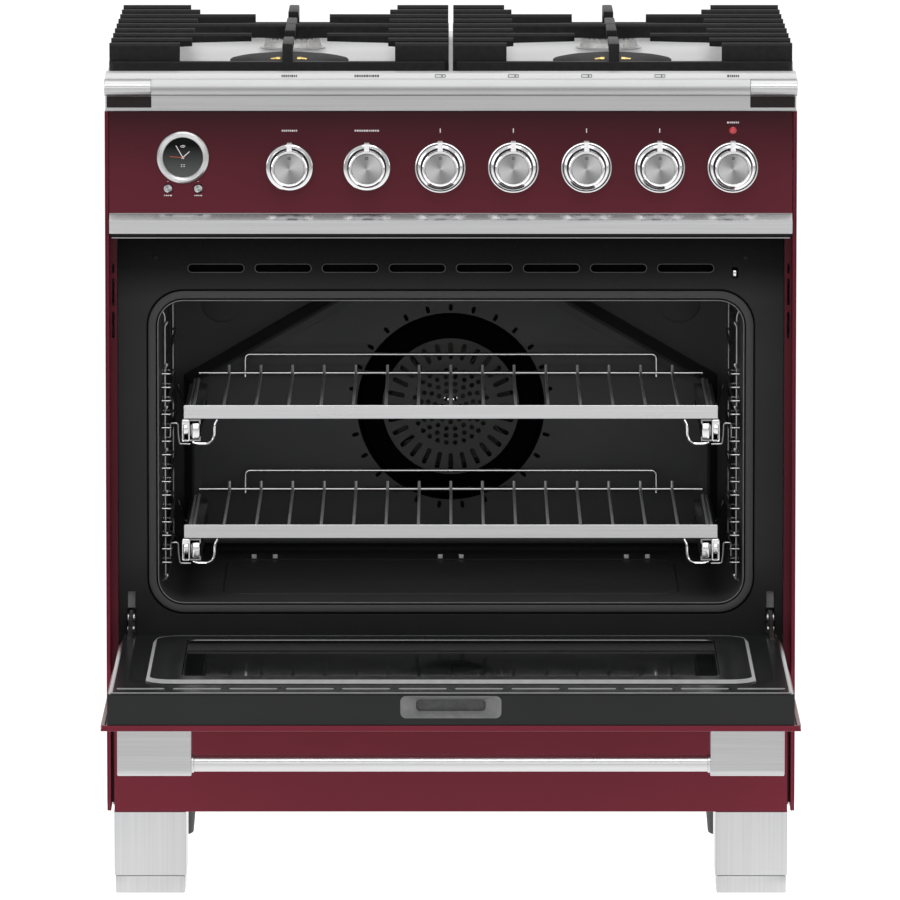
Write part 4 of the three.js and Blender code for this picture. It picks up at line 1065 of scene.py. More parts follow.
def rack(level):
    """Wire rack: a flat band in front, round wires, side runners and a raised stop at the back."""
    name = f"rack_{level}"
    body = f"{level}_rack"
    s = span(name)
    band = 15.2
    top = s.z1 - 19.6
    deck = top - 3
    face = plate(rounded(s.x0, s.x1, top - band, top, 1.2), s.y0, s.y0 + 2, "y", (), 0.5)
    piece(f"{name}_band", [face], "band", body, [name])
    wires = []
    for x in spaced(36, 15):
        path = [(x, s.y0 + 2.4, deck - 8), (x, s.y0 + 3.8, deck - 1.5), (x, s.y1 - 9, deck - 1.5),
                (x, s.y1 - 6.5, top + 6)]
        wires.append(tube(path, 1.7, 4))
    rear = tube([(s.x0 + 9, s.y1 - 2.6, deck - 0.4), (s.x1 - 9, s.y1 - 2.6, deck - 0.4)], 2.3, sides=3)
    low = tube([(s.x0 + 8, s.y0 + 4.4, deck - 4.5), (s.x1 - 8, s.y0 + 4.4, deck - 4.5)], 2.0, sides=3)
    stop = tube(
        [(-234, s.y1 - 2.6, deck - 5), (-234, s.y1 - 2.6, s.z1 - 1.8), (234, s.y1 - 2.6, s.z1 - 1.8),
         (234, s.y1 - 2.6, deck - 5)], 1.8, 6, sides=3)
    sides = both(
        tube([(287, s.y0 + 3, deck - 8), (287, s.y1 - 3, deck - 8)], 2.4, sides=3),
        tube([(291, s.y0 + 2, top - 9), (291, 200, top - 11), (291, s.y1 - 6, top - 11)], 1.7, sides=3),
    )
    seat = top - band
    bend = [(285.8, seat - 26.3), (280.9, seat - 27.9), (268.9, seat - 27.9), (263.5, seat - 24.5),
            (261.5, seat - 16.6), (261.5, seat - 7.6), (258, seat - 1)]
    ends = both(tube([(u, s.y0 + 1.8, v) for u, v in bend], 1.6, 3))
    piece(f"{name}_wires", [*wires, low, *sides], "rod", body, facet=40)
    piece(f"{name}_rods", [rear, stop, *ends], "chrome", body, facet=40)


# ---------------------------------------------------------------- control panel
def printed(outline, y, thick=0.15, holes=()):
    """A thin printed shape on an upright face."""
    return plate(outline, y - thick, y, "y", holes, 0.03)


def dashes(x, z, count, y, high=1.9):
    """A row of little bars that stands in for a printed word."""
    draw = random.Random(count)
    widths = [draw.choice((1.2, 1.6, 2.0)) for _ in range(count)]
    gap = 0.8
    start = x - (sum(widths) + gap * (count - 1)) / 2
    marks = []
    for wide in widths:
        marks.append(printed(rounded(start, start + wide, z - high / 2, z + high / 2, 0.2, 1), y))
        start += wide + gap
    return marks


def control_panel():
    """Enamelled control panel with its printed marks and the warmer's lens."""
    s = span("control_panel")
    knob_x = {name: middle(name)[0] for name in KNOBS}
    x_clock, _, z_clock = middle("clock_bezel")
    holes = [circle(x, KNOB_Z, 4.7, 16) for x in knob_x.values()]
    holes += [circle(middle(name)[0], middle(name)[2], 5.1, 20) for name in BUTTONS]
    holes.append(circle(x_clock, z_clock, 20.6, 40))
    sheet = plate(rounded(s.x0, s.x1, s.z0, s.z1, 0.8), s.y0, s.y1, "y", holes, 0.5)
    piece("panel_face", [sheet], "panel", "chassis", ["control_panel"])
    marks = dashes(knob_x["knob_function"], 846, 8, s.y0)
    marks += dashes(knob_x["knob_temperature"], 846, 11, s.y0)
    marks += dashes(knob_x["knob_warmer"], 855, 6, s.y0)
    for name in BURNER_KNOBS:
        x = knob_x[name]
        marks.append(printed(rounded(x - 0.5, x + 0.5, 843.6, 848.6, 0.3, 1), s.y0))
    for name in BUTTONS:
        x, _, low = middle(name)
        marks += dashes(x, low - 7.6, 4, s.y0, 1.3)
        marks += dashes(x, low + 7.8, 1, s.y0, 0.7)
    piece("panel_print", marks, "print", "chassis")
    dome = [(0, 1.6), (1.8, 1.4), (3.3, 0.8), (4.1, 0), (4.1, -1), (0, -1)]
    lens = lathe(dome, (knob_x["knob_warmer"], 0, 846.3), True, 32)
    piece("warmer_lens", [lens], "lens", "chassis")


def knob(name):
    """Knob: stepped rings round a spun face, with a pointer bar that stands across them."""
    s = span(name)
    x = middle(name)[0]
    label = name.removeprefix("knob_")
    body = f"{label}_knob"
    skirt = (s.x1 - s.x0) / 2
    centre = (x, 0, KNOB_Z)
    wide = skirt > 28
    rings = []
    if wide:
        rings.append([
            (skirt - 2.4, 0.5), (skirt, 0.5), (skirt, 2.4), (skirt - 0.7, 3.6), (skirt - 2.0, 3.8),
            (skirt - 2.4, 3.2),
        ])
    collar = skirt - 3.2 if wide else skirt
    rings.append([
        (21.4, 1), (collar - 0.4, 1), (collar, 1.8), (collar, 3.6), (collar - 0.9, 5.2),
        (collar - 2.2, 5.8), (22.2, 6.2), (21.4, 5.4),
    ])
    rings.append([
        (16.8, 20.5), (16.8, 23.2), (17.4, 23.9), (18.6, 24), (19.8, 23.3), (20.3, 22), (20.3, 5),
        (15, 5), (15, 20.5),
    ])
    shapes = [lathe(profile, centre, True, 96, ring=True) for profile in rings]
    piece(f"rings_{label}", shapes, "chrome", body, [name], centre)
    web = [(0, 0.6), (skirt - 1.2, 0.6), (skirt - 1.2, 1.6), (21.8, 2.2), (0, 2.2)]
    stem = tube([(x, 12, KNOB_Z), (x, -20, KNOB_Z)], 3.2, sides=3)
    piece(f"core_{label}", [lathe(web, centre, True, 64), stem], "umber", body, (), centre)
    face = lathe([(0, 22.9), (16.1, 22.9), (16.5, 22.4), (16.5, 18), (0, 18)], centre, True, 96)
    piece(f"face_{label}", [face], "spun", body, (), centre)
    bar = rounded(x - 2.8, x + 2.8, KNOB_Z + 17.2, s.z1 - 0.1, 0.5, 2)
    pointer = plate(bar, -s.y0 - 48.2, -1.4, "y", (), 0.5)
    piece(f"pointer_{label}", [pointer], "pointer", body, (), centre)
    dot = [(0.9, 0), (1.7, 0), (1.7, 0.12), (0.9, 0.12)]
    mark = lathe(dot, (x, -22.88, KNOB_Z + 12), True, 20, ring=True)
    piece(f"mark_{label}", [mark], "ink", body, (), centre)


def clock():
    """Clock: a turned bezel round a domed face with its hands."""
    x, _, z = middle("clock_bezel")
    s = span("clock_bezel")
    bezel = (s.x1 - s.x0) / 2
    face = 21.6
    centre = (x, 0, z)
    ring = lathe(
        [(face, 1), (face, 2.2), (face + 0.8, 3.2), (face + 3, 4), (bezel - 2.4, 3.6), (bezel - 0.6, 2.2),
         (bezel, 0.8), (bezel, -0.2), (face, -0.2)], centre, True, 96, ring=True)
    piece("bezel", [ring], "band", "chassis", ["clock_bezel"], centre)
    glassy = lathe([(0, 2.2), (8, 2.1), (16, 1.9), (face, 1.4), (face, 0), (0, 0)], centre, True, 64)
    piece("clock_face", [glassy], "display", "chassis", (), centre)
    case = lathe([(0, -14), (19, -14), (19.4, -13), (19.4, 0.1), (0, 0.1)], centre, True, 48)
    piece("clock_case", [case], "plastic", "chassis", (), centre)

    def hand(length, tail, wide, hour, proud):
        outline = rounded(x - wide / 2, x + wide / 2, z - tail, z + length, wide / 2, 2)
        return plate(turned(outline, -30 * hour, x, z), -2.6 - proud, -2.35 - proud, "y", (), 0.05)

    signs = [
        rounded(x + u - 0.9, x + u + 0.9, z - 8.4 + v, z - 7.6 + v, 0.3, 1)
        for u in (-1.4, 1.4) for v in (0, -1.9)
    ]
    signs += [arcband(x, z + 9.4, 1.8, 2.5), arcband(x, z + 9.4, 3.4, 4.1)]
    shapes = [hand(15.2, 2, 0.9, 11, 0.1), hand(10, 2, 0.9, 1.6, 0.3)]
    shapes += [printed(sign, -2.25) for sign in signs]
    piece("clock_hands", shapes, "print", "chassis")
    piece("clock_second_hand", [hand(14.5, 2.4, 0.5, 9.15, 0.5)], "orange", "chassis")


def arcband(u, v, inner, outer):
    """A quarter-turn band, open side down."""
    return arc(u, v, outer, 45, 135) + arc(u, v, inner, 135, 45)


def button(name):
    """Push button: a dished cap on a stem that passes through the panel."""
    x, _, z = middle(name)
    centre = (x, 0, z)
    profile = [
        (0, 2.5), (2.8, 2.5), (3.6, 2.8), (4.3, 2.4), (4.6, 1.6), (4.6, -9), (6.2, -9), (6.2, -12),
        (0, -12),
    ]
    label = name.removeprefix("button_")
    piece(f"push_{label}", [lathe(profile, centre, True, 40)], "spun", f"{label}_button", [name], centre)


def panel_rail():
    """Rail under the control panel: a polished bevel over an upright brushed face and a thin lip."""
    s = span("panel_rail")
    proud, low, bevel = s.y0, s.z0 + 5, 747.2
    face = [(proud, bevel), (proud, low), (10, low), (10, bevel)]
    bevelled = [
        (6, s.z1), (1, s.z1), (0.4, s.z1 - 0.6), (proud + 0.6, bevel + 0.5), (proud + 0.3, bevel + 0.2),
        (12, bevel + 0.2), (12, s.z1),
    ]
    lip = [(10, low + 1), (12.5, low + 1), (12.5, s.z0 + 2), (s.y1, s.z0 + 2), (s.y1, s.z0), (10, s.z0)]
    piece("rail_face", [plate(face, s.x0, s.x1, "x", (), 0.5)], "bright", "chassis", ["panel_rail"])
    piece("rail_bevel", [plate(bevelled, s.x0, s.x1, "x", (), 0.25)], "polished", "chassis")
    piece("rail_lip", [plate(lip, s.x0, s.x1, "x", (), 0.3)], "black", "chassis")
    beads = [
        block(s.x0, s.x1, y - 0.4, y + 0.4, z - 0.45, z + 0.45, 0.3, 2)
        for y, z in ((0.9, s.z1 + 0.05), (proud + 0.4, bevel + 0.3))
    ]
    beads.append(block(s.x0 + 2, s.x1 - 2, 8.4, 10, low - 6.8, low - 5.6, 0.4, 2))
    piece("rail_beads", beads, "satin", "chassis")


NOSE_LOW = 884.4  # underside of the trim's rounded nose


def nose_section():
    """The rounded nose of the top trim, and the flat lip that runs back from it under the hob's edge."""
    top, gauge, lip_back, proud = 903, 3, 30.3, 12
    radius = (top - NOSE_LOW) / 2
    centre_y = radius - proud
    points = [(lip_back, top), (lip_back, top - gauge), (gauge, top - gauge), (gauge, NOSE_LOW + 1)]
    points.append((centre_y, NOSE_LOW))
    return points + arc(centre_y, NOSE_LOW + radius, radius, 270, 90, 14)


def top_trim():
    """Trim over the control panel, with its end caps and, under them, dark plates that are painted
    reflections in the band.
    """
    s = span("top_trim")
    cap = s.x1 - 51.5
    band = [(3, NOSE_LOW), (3, s.z0), (-1.1, s.z0), (-1.5, s.z0 + 0.4), (-1.5, NOSE_LOW)]
    piece("trim_nose", [plate(nose_section(), -cap, cap, "x", (), 0.2)], "nose", "chassis", ["top_trim"])
    piece("trim_band", [plate(band, s.x0 + 1, s.x1 - 1, "x", (), 0.2)], "stainless", "chassis")
    caps = both(plate(nose_section(), cap + 0.15, s.x1, "x", (), 0.6))
    piece("trim_ends", caps, "bright", "chassis")
    # Painted reflection: dark plates in the band under each end cap.
    painted_reflections = both(plate(rounded(cap, s.x1 - 2.5, 871.5, 884.1, 0.8), -2.1, -1.2, "y", (), 0.3))
    piece("trim_painted_reflections", painted_reflections, "umber", "chassis")


def hob_edge():
    """The hob's raised front edge, with small printed signs over the knobs on its slope."""
    s = span("hob_top")
    foot, crest = (-3.4, s.z1 + 0.8), (1.2, s.z1 + 5.6)
    section = [(-3.6, s.z1 + 0.1), foot, crest, (3, s.z1 + 6.4), (26, s.z1 + 6.4)]
    section += [(28.6, s.z1 + 5), (29.6, s.z1 + 0.1)]
    edge = plate(section, s.x0 + 1, s.x1 - 1, "x", (), 0.25)
    piece("hob_edge", [edge], "strip", "chassis")
    signs = []
    for name, count in (("knob_function", 8), ("knob_temperature", 11), ("knob_warmer", 6)):
        signs += dashes(middle(name)[0], 0, count, -0.1, 3.2)
    for name in BURNER_KNOBS:
        x = middle(name)[0]
        hole = rounded(x - 5.2, x + 5.2, -1.5, 1.5, 0.4, 2)
        signs.append(printed(rounded(x - 5.8, x + 5.8, -2.1, 2.1, 0.6, 2), -0.1, 0.2, [hole]))
        signs.append(printed(circle(x + 2, 0, 0.9, 12), -0.1, 0.2))
    tilt = math.atan2(crest[0] - foot[0], crest[1] - foot[1])
    place = Matrix.Translation((0, (foot[0] + crest[0]) / 2, (foot[1] + crest[1]) / 2))
    for sign in signs:
        sign.transform(place @ Matrix.Rotation(-tilt, 4, "X"))
    piece("hob_print", signs, "ink", "chassis")


# ---------------------------------------------------------------- hob
def hob():
    """Pressed stainless hob: two shallow wells round the burners, and vents at the back."""
    s = span("hob_top")
    top = s.z1
    floor = top - HOB_WELL
    vents = [rounded(x - 26, x + 26, 604, 614, 5) for x in spaced(68, 10)]
    wells = ((14, 366, 58, 576), (-366, -14, 58, 576))
    openings = [rounded(*well, 22) for well in wells]
    sheet = plate(rounded(s.x0, s.x1, s.y0, s.y1, 3), top - 1.2, top, "z", [*openings, *vents], 0.4)
    walls = [
        (0.4, top - 0.1), (0.2, top - 0.5), (-1.6, floor + 0.4), (-2.2, floor), (-2.2, floor - 1),
        (0.4, top - 1.2),
    ]
    centres = [middle(f"burner_{row}_{side}") for row, side in BURNERS]
    parts = [sheet]
    for well in wells:
        parts.append(moulding(well, walls, "z", 22))
        holes = [circle(x, y, 28, 48) for x, y, _ in centres if well[0] < x < well[1]]
        bed = (well[0] + 2, well[1] - 2, well[2] + 2, well[3] - 2)
        parts.append(plate(rounded(*bed, 20), floor - 1, floor, "z", holes, 0.2))
    rect = (s.x0 + 1.6, s.x1 - 1.6, s.y0 + 1.6, s.y1 - 1.6)
    parts.append(moulding(rect, [(0, s.z0), (1.6, s.z0), (1.6, top - 1.1), (0, top - 1.1)], "z", 1.6, 3))
    piece("hob_sheet", parts, "lip", "chassis", ["hob_top"])


def burner(row, side):
    """A burner's node, its centre on the hob, and its cap's underside, top and radius."""
    node = f"burner_{row}_{side}"
    x, y, _ = middle(node)
    hob_z = span("hob_top").z1
    cap = span(f"burner_cap_{row}_{side}")
    return node, (x, y, hob_z), cap.z0 - hob_z, cap.z1 - hob_z, (cap.x1 - cap.x0) / 2


SUNK = 0.3 - HOB_WELL  # height of a burner's foot from the hob, just over the floor of its well
THROAT = [(0, -34), (22, -34), (22, -6), (25.6, -4), (25.6, SUNK)]  # the tube under a burner


def front_burner(side):
    """Wide front burner: a low ring under a black dome, with two brass jets on the dome's slope."""
    node, centre, low, high, rim = burner("front", side)
    profile = [*THROAT, (rim - 3, SUNK), (rim - 2.6, SUNK + 0.8), (rim - 5, 2.7), (0, 2.7)]
    base = lathe(profile, centre, steps=96)
    piece(f"base_front_{side}", [base], "alloy", "chassis", [node], centre)
    dome = lathe(
        [(0, low), (rim - 2.4, low), (rim - 0.4, low + 0.7), (rim, low + 1.8), (rim - 0.3, low + 3),
         (rim - 1.6, low + 4), (rim - 8, low + 5.5), (rim - 14, low + 6.6), (rim - 22, low + 7.4),
         (rim - 38, high - 0.6), (rim - 52, high - 0.1), (0, high)], centre, steps=96)
    piece(f"cap_front_{side}", [dome], "dome", f"front_{side}_cap", [f"burner_cap_front_{side}"],
          centre, 30)
    x, y, z = centre
    jets = []
    for sign in SIDES.values():
        jet = lathe([(0, 0), (2.5, 0), (2.7, 0.6), (2.7, 5), (2.2, 5.6), (1.4, 11), (0, 11.6)], steps=20)
        turn = Matrix.Rotation(sign * math.pi / 2, 4, "Y")
        jet.transform(Matrix.Translation((x + 9 * sign, y - 45, z + 9.6)) @ turn)
        jets.append(jet)
    piece(f"jets_{side}", jets, "brass", f"front_{side}_cap")


def rear_burner(side):
    """Rear burner: a crown of alloy teeth on a flange, under a flat black cap."""
    node, centre, low, high, rim = burner("rear", side)
    base = span(node)
    flange = (base.x1 - base.x0) / 2
    root = 33
    foot = lathe(
        [*THROAT, (flange - 4, SUNK), (flange - 3.6, SUNK + 0.6), (flange - 5, SUNK + 1.1),
         (root, SUNK + 1.8), (root - 0.6, 1), (root - 1.6, 4), (root - 1.6, 7.4), (0, 7.4)],
        centre, steps=96)
    outline = [(-3.3, 7), (3.3, 7), (3.3, 7.8), (2.1, low - 0.4), (-2.1, low - 0.4), (-3.3, 7.8)]
    teeth = []
    for i in range(28):
        tooth = plate(outline, -root + 1.6, -root + 6, "y", (), 0.3)
        turn = Matrix.Rotation(2 * math.pi * i / 28, 4, "Z")
        tooth.transform(Matrix.Translation(centre) @ turn)
        teeth.append(tooth)
    core = lathe([(0, 5), (root - 5, 5), (root - 5, low - 0.3), (0, low - 0.3)], centre, steps=64)
    piece(f"crown_{side}", [foot, *teeth, core], "alloy", "chassis", [node], centre)
    disc = lathe(
        [(0, low), (rim - 2.4, low), (rim - 0.5, low + 0.8), (rim, low + 2), (rim - 0.2, low + 3.4),
         (rim - 1.6, low + 4.6), (rim - 4.5, high - 0.4), (rim - 7, high), (0, high)], centre, steps=96)
    piece(f"cap_rear_{side}", [disc], "iron", f"rear_{side}_cap", [f"burner_cap_rear_{side}"], centre, 30)
    x, y, z = centre
    tip = [(0, 1), (2.4, 1), (2.4, 5), (1.2, 5.6), (1.2, 8.4), (0, 8.6)]
    pin = lathe(tip, (x + 18, y - 36.6, z), steps=20)
    piece(f"igniter_{side}", [pin], "ceramic", "chassis")


def finger(x0, x1, y, low, top, tip_low=None):
    """A cast finger across the grate, its top crowned and its underside level or rising to its tip."""
    half = 4.5

    def section(x, under):
        points = [
            (half - 1.4, under), (half, top - 3), (half - 1.2, top - 0.8), (half - 2.8, top),
            (2.8 - half, top), (1.2 - half, top - 0.8), (-half, top - 3), (1.4 - half, under),
        ]
        return [(x, y + u, v) for u, v in points]

    if tip_low is None:
        return loft([section(x0, low), section(x1, low)])
    root = x0 + math.copysign(11, x1 - x0)
    bend = x0 + math.copysign(22, x1 - x0)
    knee = tip_low - 3 if tip_low > low + 8 else tip_low
    return loft([section(x0, low), section(root, low), section(bend, knee), section(x1, tip_low)])


def grate(side, sign):
    """Cast pan support: a frame on feet, comb fingers, and arms in to the burners."""
    s = span("grate_right")
    bar = s.z1 - 20
    low = bar - 13
    frame_ring = moulding(
        (s.x0 + 5, s.x1 - 5, s.y0 + 5, s.y1 - 5),
        [(-5, low + 1), (-4, low), (4, low), (5, low + 1), (5, bar - 1), (4, bar), (-4, bar),
         (-5, bar - 1)],
        "z", 4, 3,
    )
    burner_x = middle("burner_front_right")[0]
    clear = 42
    first, pitch, last = s.y0 + 9.5, 65.2, 8
    fingers = []
    for row in range(last + 1):
        if row == last / 2:
            tips, tip_low = (burner_x + 1, burner_x - 1), bar + 4
        elif row in (2, 6):
            tips, tip_low = (burner_x - clear, burner_x + clear), bar + 11
        elif row % last:
            tips, tip_low = (s.x0 + 67, s.x1 - 90), bar + 11
        else:
            tips, tip_low = (s.x0 + 59, s.x1 - 78), None
        for root, tip in zip((s.x0 + 0.5, s.x1 - 0.5), tips):
            fingers.append(finger(root, tip, first + pitch * row, bar - 2, s.z1, tip_low))
    front, rear = middle("burner_front_right")[1], middle("burner_rear_right")[1]
    spans = ((s.y0 + 1, front - clear), (front + clear, rear - clear), (rear + clear, s.y1 - 1))
    wide = 5.75
    spines = [
        block(burner_x - wide, burner_x + wide, a, b, s.z1 - 10, s.z1 - 0.3, 1.6, 3) for a, b in spans
    ]
    for a, b in ((s.y0 + 0.5, s.y0 + 8), (s.y1 - 8, s.y1 - 0.5)):
        spines.append(block(burner_x - wide, burner_x + wide, a, b, bar - 2, s.z1 - 3, 1))
    feet = [
        lathe([(0, s.z0), (3.4, s.z0), (4.2, s.z0 + 1), (4.6, low + 2), (0, low + 2)], (x, y, 0), steps=16)
        for x in (s.x0 + 6, s.x1 - 6)
        for y in (s.y0 + 6, s.y1 - 6)
    ]
    piece(f"pan_support_{side}", sided([frame_ring, *fingers, *spines, *feet], sign), "iron",
          f"{side}_grate", [f"grate_{side}"])


# ---------------------------------------------------------------- door
def door_outer():
    """Painted outer skin of the door, a shallow tray round its window."""
    s = span("door_outer_panel")
    window = (-230, 230, -330, -130)
    face = plate(rounded(s.x0, s.x1, s.y0, s.y1, 2), s.z0, s.z0 + 2, "z", [rounded(*window, 6)], 0.7)
    rim = moulding((s.x0 + 4, s.x1 - 4, s.y0 + 4, s.y1 - 4),
                   [(0, s.z0 + 1.6), (4, s.z0 + 1.6), (4, s.z1 - 0.6), (3.4, s.z1), (0, s.z1)], "z", 3, 3)
    piece("door_skin", [face, rim], "red", "door", ["door_outer_panel"])
    edge = [(0, 2.2), (0, 0.4), (0.5, 0.2), (3, -0.2), (3.4, 0.3)]
    trim = moulding(window, [(grown, s.z0 + height) for grown, height in edge], "z", 6)
    piece("door_window_trim", [trim], "black", "door")


def door_inner():
    """Enamelled inner door: a raised rim round the glass, drain slots, and the grip recess in its tip."""
    s = span("door_inner_panel")
    top = s.z1 - 2
    near, far = s.y0, s.y1
    slope = 5
    edge = s.x1 - slope
    outline = [(-edge, near), (edge, near), (edge, far)]
    for notch in (HINGE_X, -HINGE_X):
        outline += [(notch + 4.5, far), (notch + 4.5, -40), (notch - 4.5, -40), (notch - 4.5, far)]
    outline.append((-edge, far))
    slots = [rounded(x - 25, x + 25, -424.5, -419.5, 2.5) for x in spaced(60, 12)]
    rim = (-322, 322, -366, -27)
    groove = 24
    bed = rounded(rim[0] - groove, rim[1] + groove, rim[2] - groove, rim[3] + groove, 24 + groove, 10)
    sheet = plate(outline, top - 2, top, "z", [bed, *slots], 0.5)
    pane = rounded(-288.6, 288.6, -338.6, -54.6, 10)
    shoulder = plate(rounded(*rim, 24, 10), top - 0.6, top + 2, "z", [pane], 0.3)
    bevel = moulding(
        rim,
        [(-0.4, top + 1.9), (0.4, top + 1.8), (4.2, top - 2.3), (5.2, top - 2.7), (9, top - 2.6),
         (18, top - 1), (groove + 0.3, top - 0.1), (groove + 0.3, top - 3.6), (-0.4, top - 3.6)],
        "z", 24, 12,
    )
    flanks = both(loft([
        [(s.x1 - slope - 0.3, y, top - 0.1), (s.x1 - slope + 1, y, top - 0.6), (s.x1 - 0.2, y, top - 6.2),
         (s.x1 - 0.2, y, top - 8), (s.x1 - slope - 0.3, y, top - 8)] for y in (near + 0.4, -44)
    ]))
    # Painted highlight: the drain slots' lips are light grey, lighter than the door's black enamel.
    lips = [
        tube([(u, v, top + 0.05) for u, v in slot], 0.45, loop=True, sides=1) for slot in slots
    ]
    piece("slot_lips", lips, "ridge", "door", facet=40)
    # Painted highlight: a light grey strip on the rim's outer slope.
    ridge = [(0.3, top + 1.8), (4.1, top - 2.1), (4.4, top - 1.8), (0.7, top + 2)]
    piece("door_ridge", [moulding(rim, ridge, "z", 24, 12)], "ridge", "door", facet=40)
    recess = 53.5
    z0, z1 = s.z0, top - 0.5
    front_holes = [rounded(-recess, recess, z0 + 7.5, z1 - 2, 6)]
    front = plate([(s.x0, z0), (s.x1, z0), (s.x1, z1), (s.x0, z1)], near, near + 2, "y", front_holes, 0.5)
    sides = both(block(s.x1 - 2, s.x1, near + 1, -44, z0, top - 7, 0.6))
    reach = HINGE_X - 6
    back = plate([(-reach, z0), (reach, z0), (reach, z1), (-reach, z1)], far - 2, far, "y", (), 0.4)
    parts = [sheet, shoulder, bevel, *flanks, front, *sides, back]
    piece("door_liner", parts, "door", "door", ["door_inner_panel"])
    inner = 37
    outer_low, outer_high, inner_low, inner_high = z0 + 7.5, z1 - 2, z0 + 14, z1 - 7

    def ring(half, low, high, y, radius):
        return lifted(rounded(-half, half, low, high, radius), y, "y")

    bevels = loft(
        [
            ring(recess, outer_low, outer_high, near + 0.1, 6),
            ring(inner, inner_low, inner_high, near + 9, 4),
            ring(inner, inner_low, inner_high, near + 11, 4),
            ring(recess + 1, outer_low - 1, outer_high + 1, near + 2.2, 7),
        ],
        loop=True,
    )
    piece("grip_bevel", [bevels], "recess", "door", facet=30)
    well = plate(rounded(-inner - 1, inner + 1, z0 + 13, z1 - 6, 1), near + 14, near + 15, "y")
    piece("grip_well", [well], "grip", "door")
    # Painted highlight: a light grey line along the tip's top edge.
    bead = tube([(s.x0 + 3, near + 3.4, top + 0.2), (s.x1 - 3, near + 3.4, top + 0.2)], 0.7, sides=2)
    piece("door_tip_bead", [bead], "ridge", "door")


def door_glass():
    """Both panes, the inner one set flush in its rim with a bright line round it."""
    top = span("door_inner_panel").z1
    s = span("door_inner_glass")
    under = plate(rounded(s.x0, s.x1, s.y0, s.y1, 12), s.z0, s.z1, "z", (), 0.6)
    flush = plate(rounded(-288, 288, -338, -55, 10), s.z1 - 0.2, top - 0.7, "z", (), 0.5)
    piece("inner_pane", [under, flush], "glass", "door", ["door_inner_glass"])
    s = span("door_outer_glass")
    outer = plate(rounded(s.x0, s.x1, s.y0, s.y1, 8), s.z0, s.z1, "z", (), 0.6)
    piece("outer_pane", [outer], "glass", "door", ["door_outer_glass"])
    raised = [(0, top - 0.8), (0.2, top - 0.5), (1, top - 0.5), (1.2, top - 0.8)]
    line = moulding((-286.6, 286.6, -336.6, -56.4), raised, "z", 10)
    piece("pane_line", [line], "polished", "door")


def handle():
    """Handle: a round bar between two broad end brackets."""
    s = span("door_handle")
    inner = 275.4
    y = -440
    bar = 9
    z = s.z0 + 4 + bar
    corners = (*arc(s.y0 + 7, s.z0 + 7, 7, 180, 270), *arc(s.y1 - 7, s.z0 + 7, 7, 270, 360))
    outline = [(s.y0, s.z1), *corners, (s.y1, s.z1)]
    brackets = both(plate(outline, inner, s.x1, "x", (), 1.2))
    piece("handle_brackets", brackets, "satin", "door", ["door_handle"])
    rod = lathe([(0, 0), (bar, 0), (bar, 2 * inner + 2), (0, 2 * inner + 2)], steps=48)
    rod.transform(Matrix.Translation((-inner - 1, y, z)) @ Matrix.Rotation(math.pi / 2, 4, "Y"))
    collars = both(lathe([(0, 0), (bar + 1.2, 0), (bar + 1.2, 2.4), (bar, 3), (0, 3)], steps=48))
    for part, sign in zip(collars, (1, -1)):
        turn = Matrix.Rotation(-sign * math.pi / 2, 4, "Y")
        part.transform(Matrix.Translation((sign * (inner + 0.2), y, z)) @ turn)
    piece("handle_bar", [rod, *collars], "bright", "door")


def hinge_arm(side, sign):
    """Hinge arm with its roller and pins, and the grey receiver seen behind it in the frame's slot."""
    pivot_y, pivot_z = 6, 255
    shape = [(-43, 11), (-43, 34), (22, 55), (44, 55), (44, 37), (34, 33), (-2, 24), (-26, 11)]
    outline = [(pivot_y + u, pivot_z + v) for u, v in shape]
    s = span("hinge_arm_right")
    arm = plate(outline, s.x0 + 1.4, s.x1 - 1.4, "x", [circle(-28, 278, 2.4, 16)], 0.8)
    x = (s.x0 + s.x1) / 2
    rollers = [
        tube([(s.x0, y, z), (s.x1, y, z)], radius, sides=4)
        for y, z, radius in ((33, 303, 5.2), (22, 292, 3.4), (44, 301, 3))
    ]
    latch = block(x - 3.2, x + 3.2, 38, 41, 291, 308, 1, 3)
    marks = [lathe([(0, 0), (1.7, 0), (1.7, 0.3), (0, 0.3)], (x, 38, z), True, 20) for z in (295, 303.5)]
    piece(f"hinge_{side}", sided([arm], sign), "wire", "door", [f"hinge_arm_{side}"])
    piece(f"hinge_rollers_{side}", sided([latch, *rollers], sign), "satin", "door", facet=40)
    piece(f"hinge_pins_{side}", sided(marks, sign), "ink", "door")
    receiver = block(s.x0 - 5, s.x1 + 5, 82, 84, 252, 336, 0.6)
    face = block(x - 4.5, x + 4.5, 48, 50, 312, 333, 0.5)
    piece(f"hinge_receiver_{side}", sided([receiver, face], sign), "recess", "chassis")


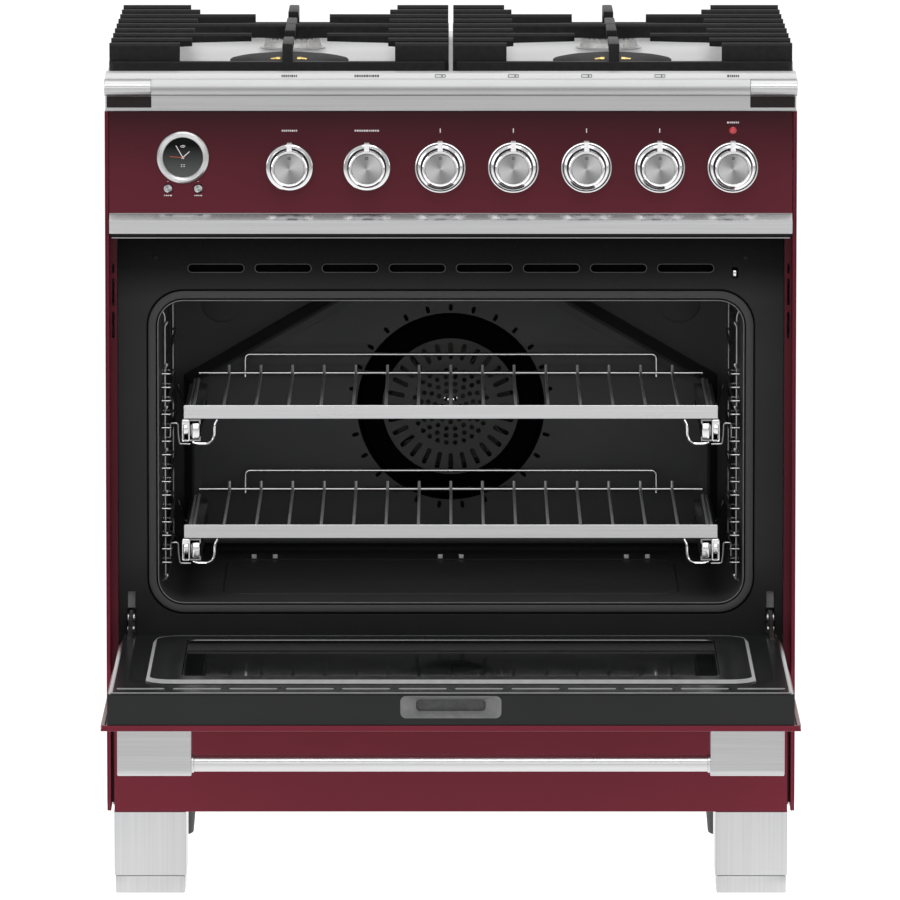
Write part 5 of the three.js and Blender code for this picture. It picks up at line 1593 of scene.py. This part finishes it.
# ---------------------------------------------------------------- drawer
def drawer():
    """Warming drawer: a painted front folded at its edges, and a steel box on side runners."""
    s = span("drawer_front")
    face = plate(rounded(s.x0, s.x1, s.z0, s.z1, 1.5), s.y0, s.y0 + 2.5, "y", (), 0.9)
    folds = moulding(
        (s.x0 + 2.5, s.x1 - 2.5, s.z0 + 2.5, s.z1 - 2.5),
        [(0, s.y0 + 2), (2.5, s.y0 + 2), (2.5, s.y1), (0, s.y1)], "y", 1.5, 2,
    )
    piece("drawer_face", [face, folds], "red", "drawer", ["drawer_front"])
    b = span("drawer_box")
    rect = (b.x0, b.x1, b.y0, b.y1)
    folded = [
        (0, b.z0), (0, b.z1 - 1), (-0.4, b.z1), (-3.2, b.z1), (-3.6, b.z1 - 1), (-3.6, b.z1 - 8),
        (-2.5, b.z1 - 9), (-2.5, b.z0),
    ]
    walls = moulding(rect, folded, "z", 5, 4)
    floor = plate(rounded(b.x0 + 1, b.x1 - 1, b.y0 + 1, b.y1 - 1, 4), b.z0, b.z0 + 2.5, "z")
    pressed = [(0, b.z0 + 2.2), (2, b.z0 + 4), (4, b.z0 + 4), (6, b.z0 + 2.2)]
    beads = [moulding((-250, 250, y, y + 110), pressed, "z", 20) for y in (90, 250, 410)]
    runners = both(block(b.x1 - 1, b.x1 + 9, b.y0 + 12, b.y1 - 8, b.z0 + 40, b.z0 + 62, 1.5))
    piece("drawer_tub", [walls, floor, *beads], "galvanised", "drawer", ["drawer_box"])
    piece("drawer_runners", runners, "chrome", "drawer")


# ---------------------------------------------------------------- legs
def legs(side, sign):
    """Front leg: a stainless sleeve over a levelling foot. Rear leg: a tapered moulding."""
    s = span("leg_sleeve_right")
    rect = (s.x0 + 2.5, s.x1 - 2.5, s.y0 + 2.5, s.y1 - 2.5)
    wall = [(0, s.z0 + 0.4), (0.6, s.z0), (2, s.z0), (2.5, s.z0 + 0.5), (2.5, s.z1), (0, s.z1)]
    sleeve = moulding(rect, wall, "z", 0.8, 3)
    lid = plate(rounded(s.x0 + 1, s.x1 - 1, s.y0 + 1, s.y1 - 1, 1), s.z1 - 2.5, s.z1 - 0.1, "z")
    piece(f"leg_{side}", sided([sleeve, lid], sign), "legs", "chassis", [f"leg_sleeve_{side}"])
    f = span("foot_front_right")
    pad_top = s.z0 - 0.3
    pad = block(f.x0, f.x1, f.y0, f.y1, f.z0, pad_top, 1.2, 3)
    x, y, _ = middle("foot_front_right")
    rod = [(0, pad_top - 2), (8, pad_top - 2), (8, f.z1 - 1), (7, f.z1), (0, f.z1)]
    stem = lathe(rod, (x, y, 0), steps=32)
    shapes = sided([pad, stem], sign)
    piece(f"front_foot_{side}", shapes, "legs", f"front_{side}_foot", [f"foot_front_{side}"])
    r = span("foot_rear_right")
    x, y, _ = middle("foot_rear_right")
    wide = (r.x1 - r.x0) / 2
    under = span("base_pan").z0 - 1.2
    profile = [
        (0, 0), (wide - 5, 0), (wide - 3.6, 1), (wide - 3, 3), (wide - 1, 26), (wide, 30), (wide, 34),
        (wide - 1, 36), (wide - 1, 40), (wide, 42), (wide, under - 1), (wide - 1, under), (8, under),
        (8, r.z1), (0, r.z1),
    ]
    leg = lathe(profile, (x, y, 0), steps=64)
    piece(f"rear_foot_{side}", sided([leg], sign), "plastic", f"rear_{side}_foot", [f"foot_rear_{side}"])


# ---------------------------------------------------------------- everything
for side, sign in SIDES.items():
    side_panel(side, sign)
    side_ladder(side, sign)
    rack_slide("upper", side, sign)
    rack_slide("lower", side, sign)
    grate(side, sign)
    hinge_arm(side, sign)
    legs(side, sign)
for side in SIDES:
    front_burner(side)
    rear_burner(side)
for name in KNOBS:
    knob(name)
for name in BUTTONS:
    button(name)
for level in ("upper", "lower"):
    rack(level)
for build in (
    rear_panel, kept_nodes, front_frame, gasket, liner, fan_baffle, fan, elements, control_panel,
    clock, vent_shade_sheets, panel_rail, top_trim, hob_edge, hob, door_outer, door_inner, door_glass,
    handle, drawer,
):
    build()
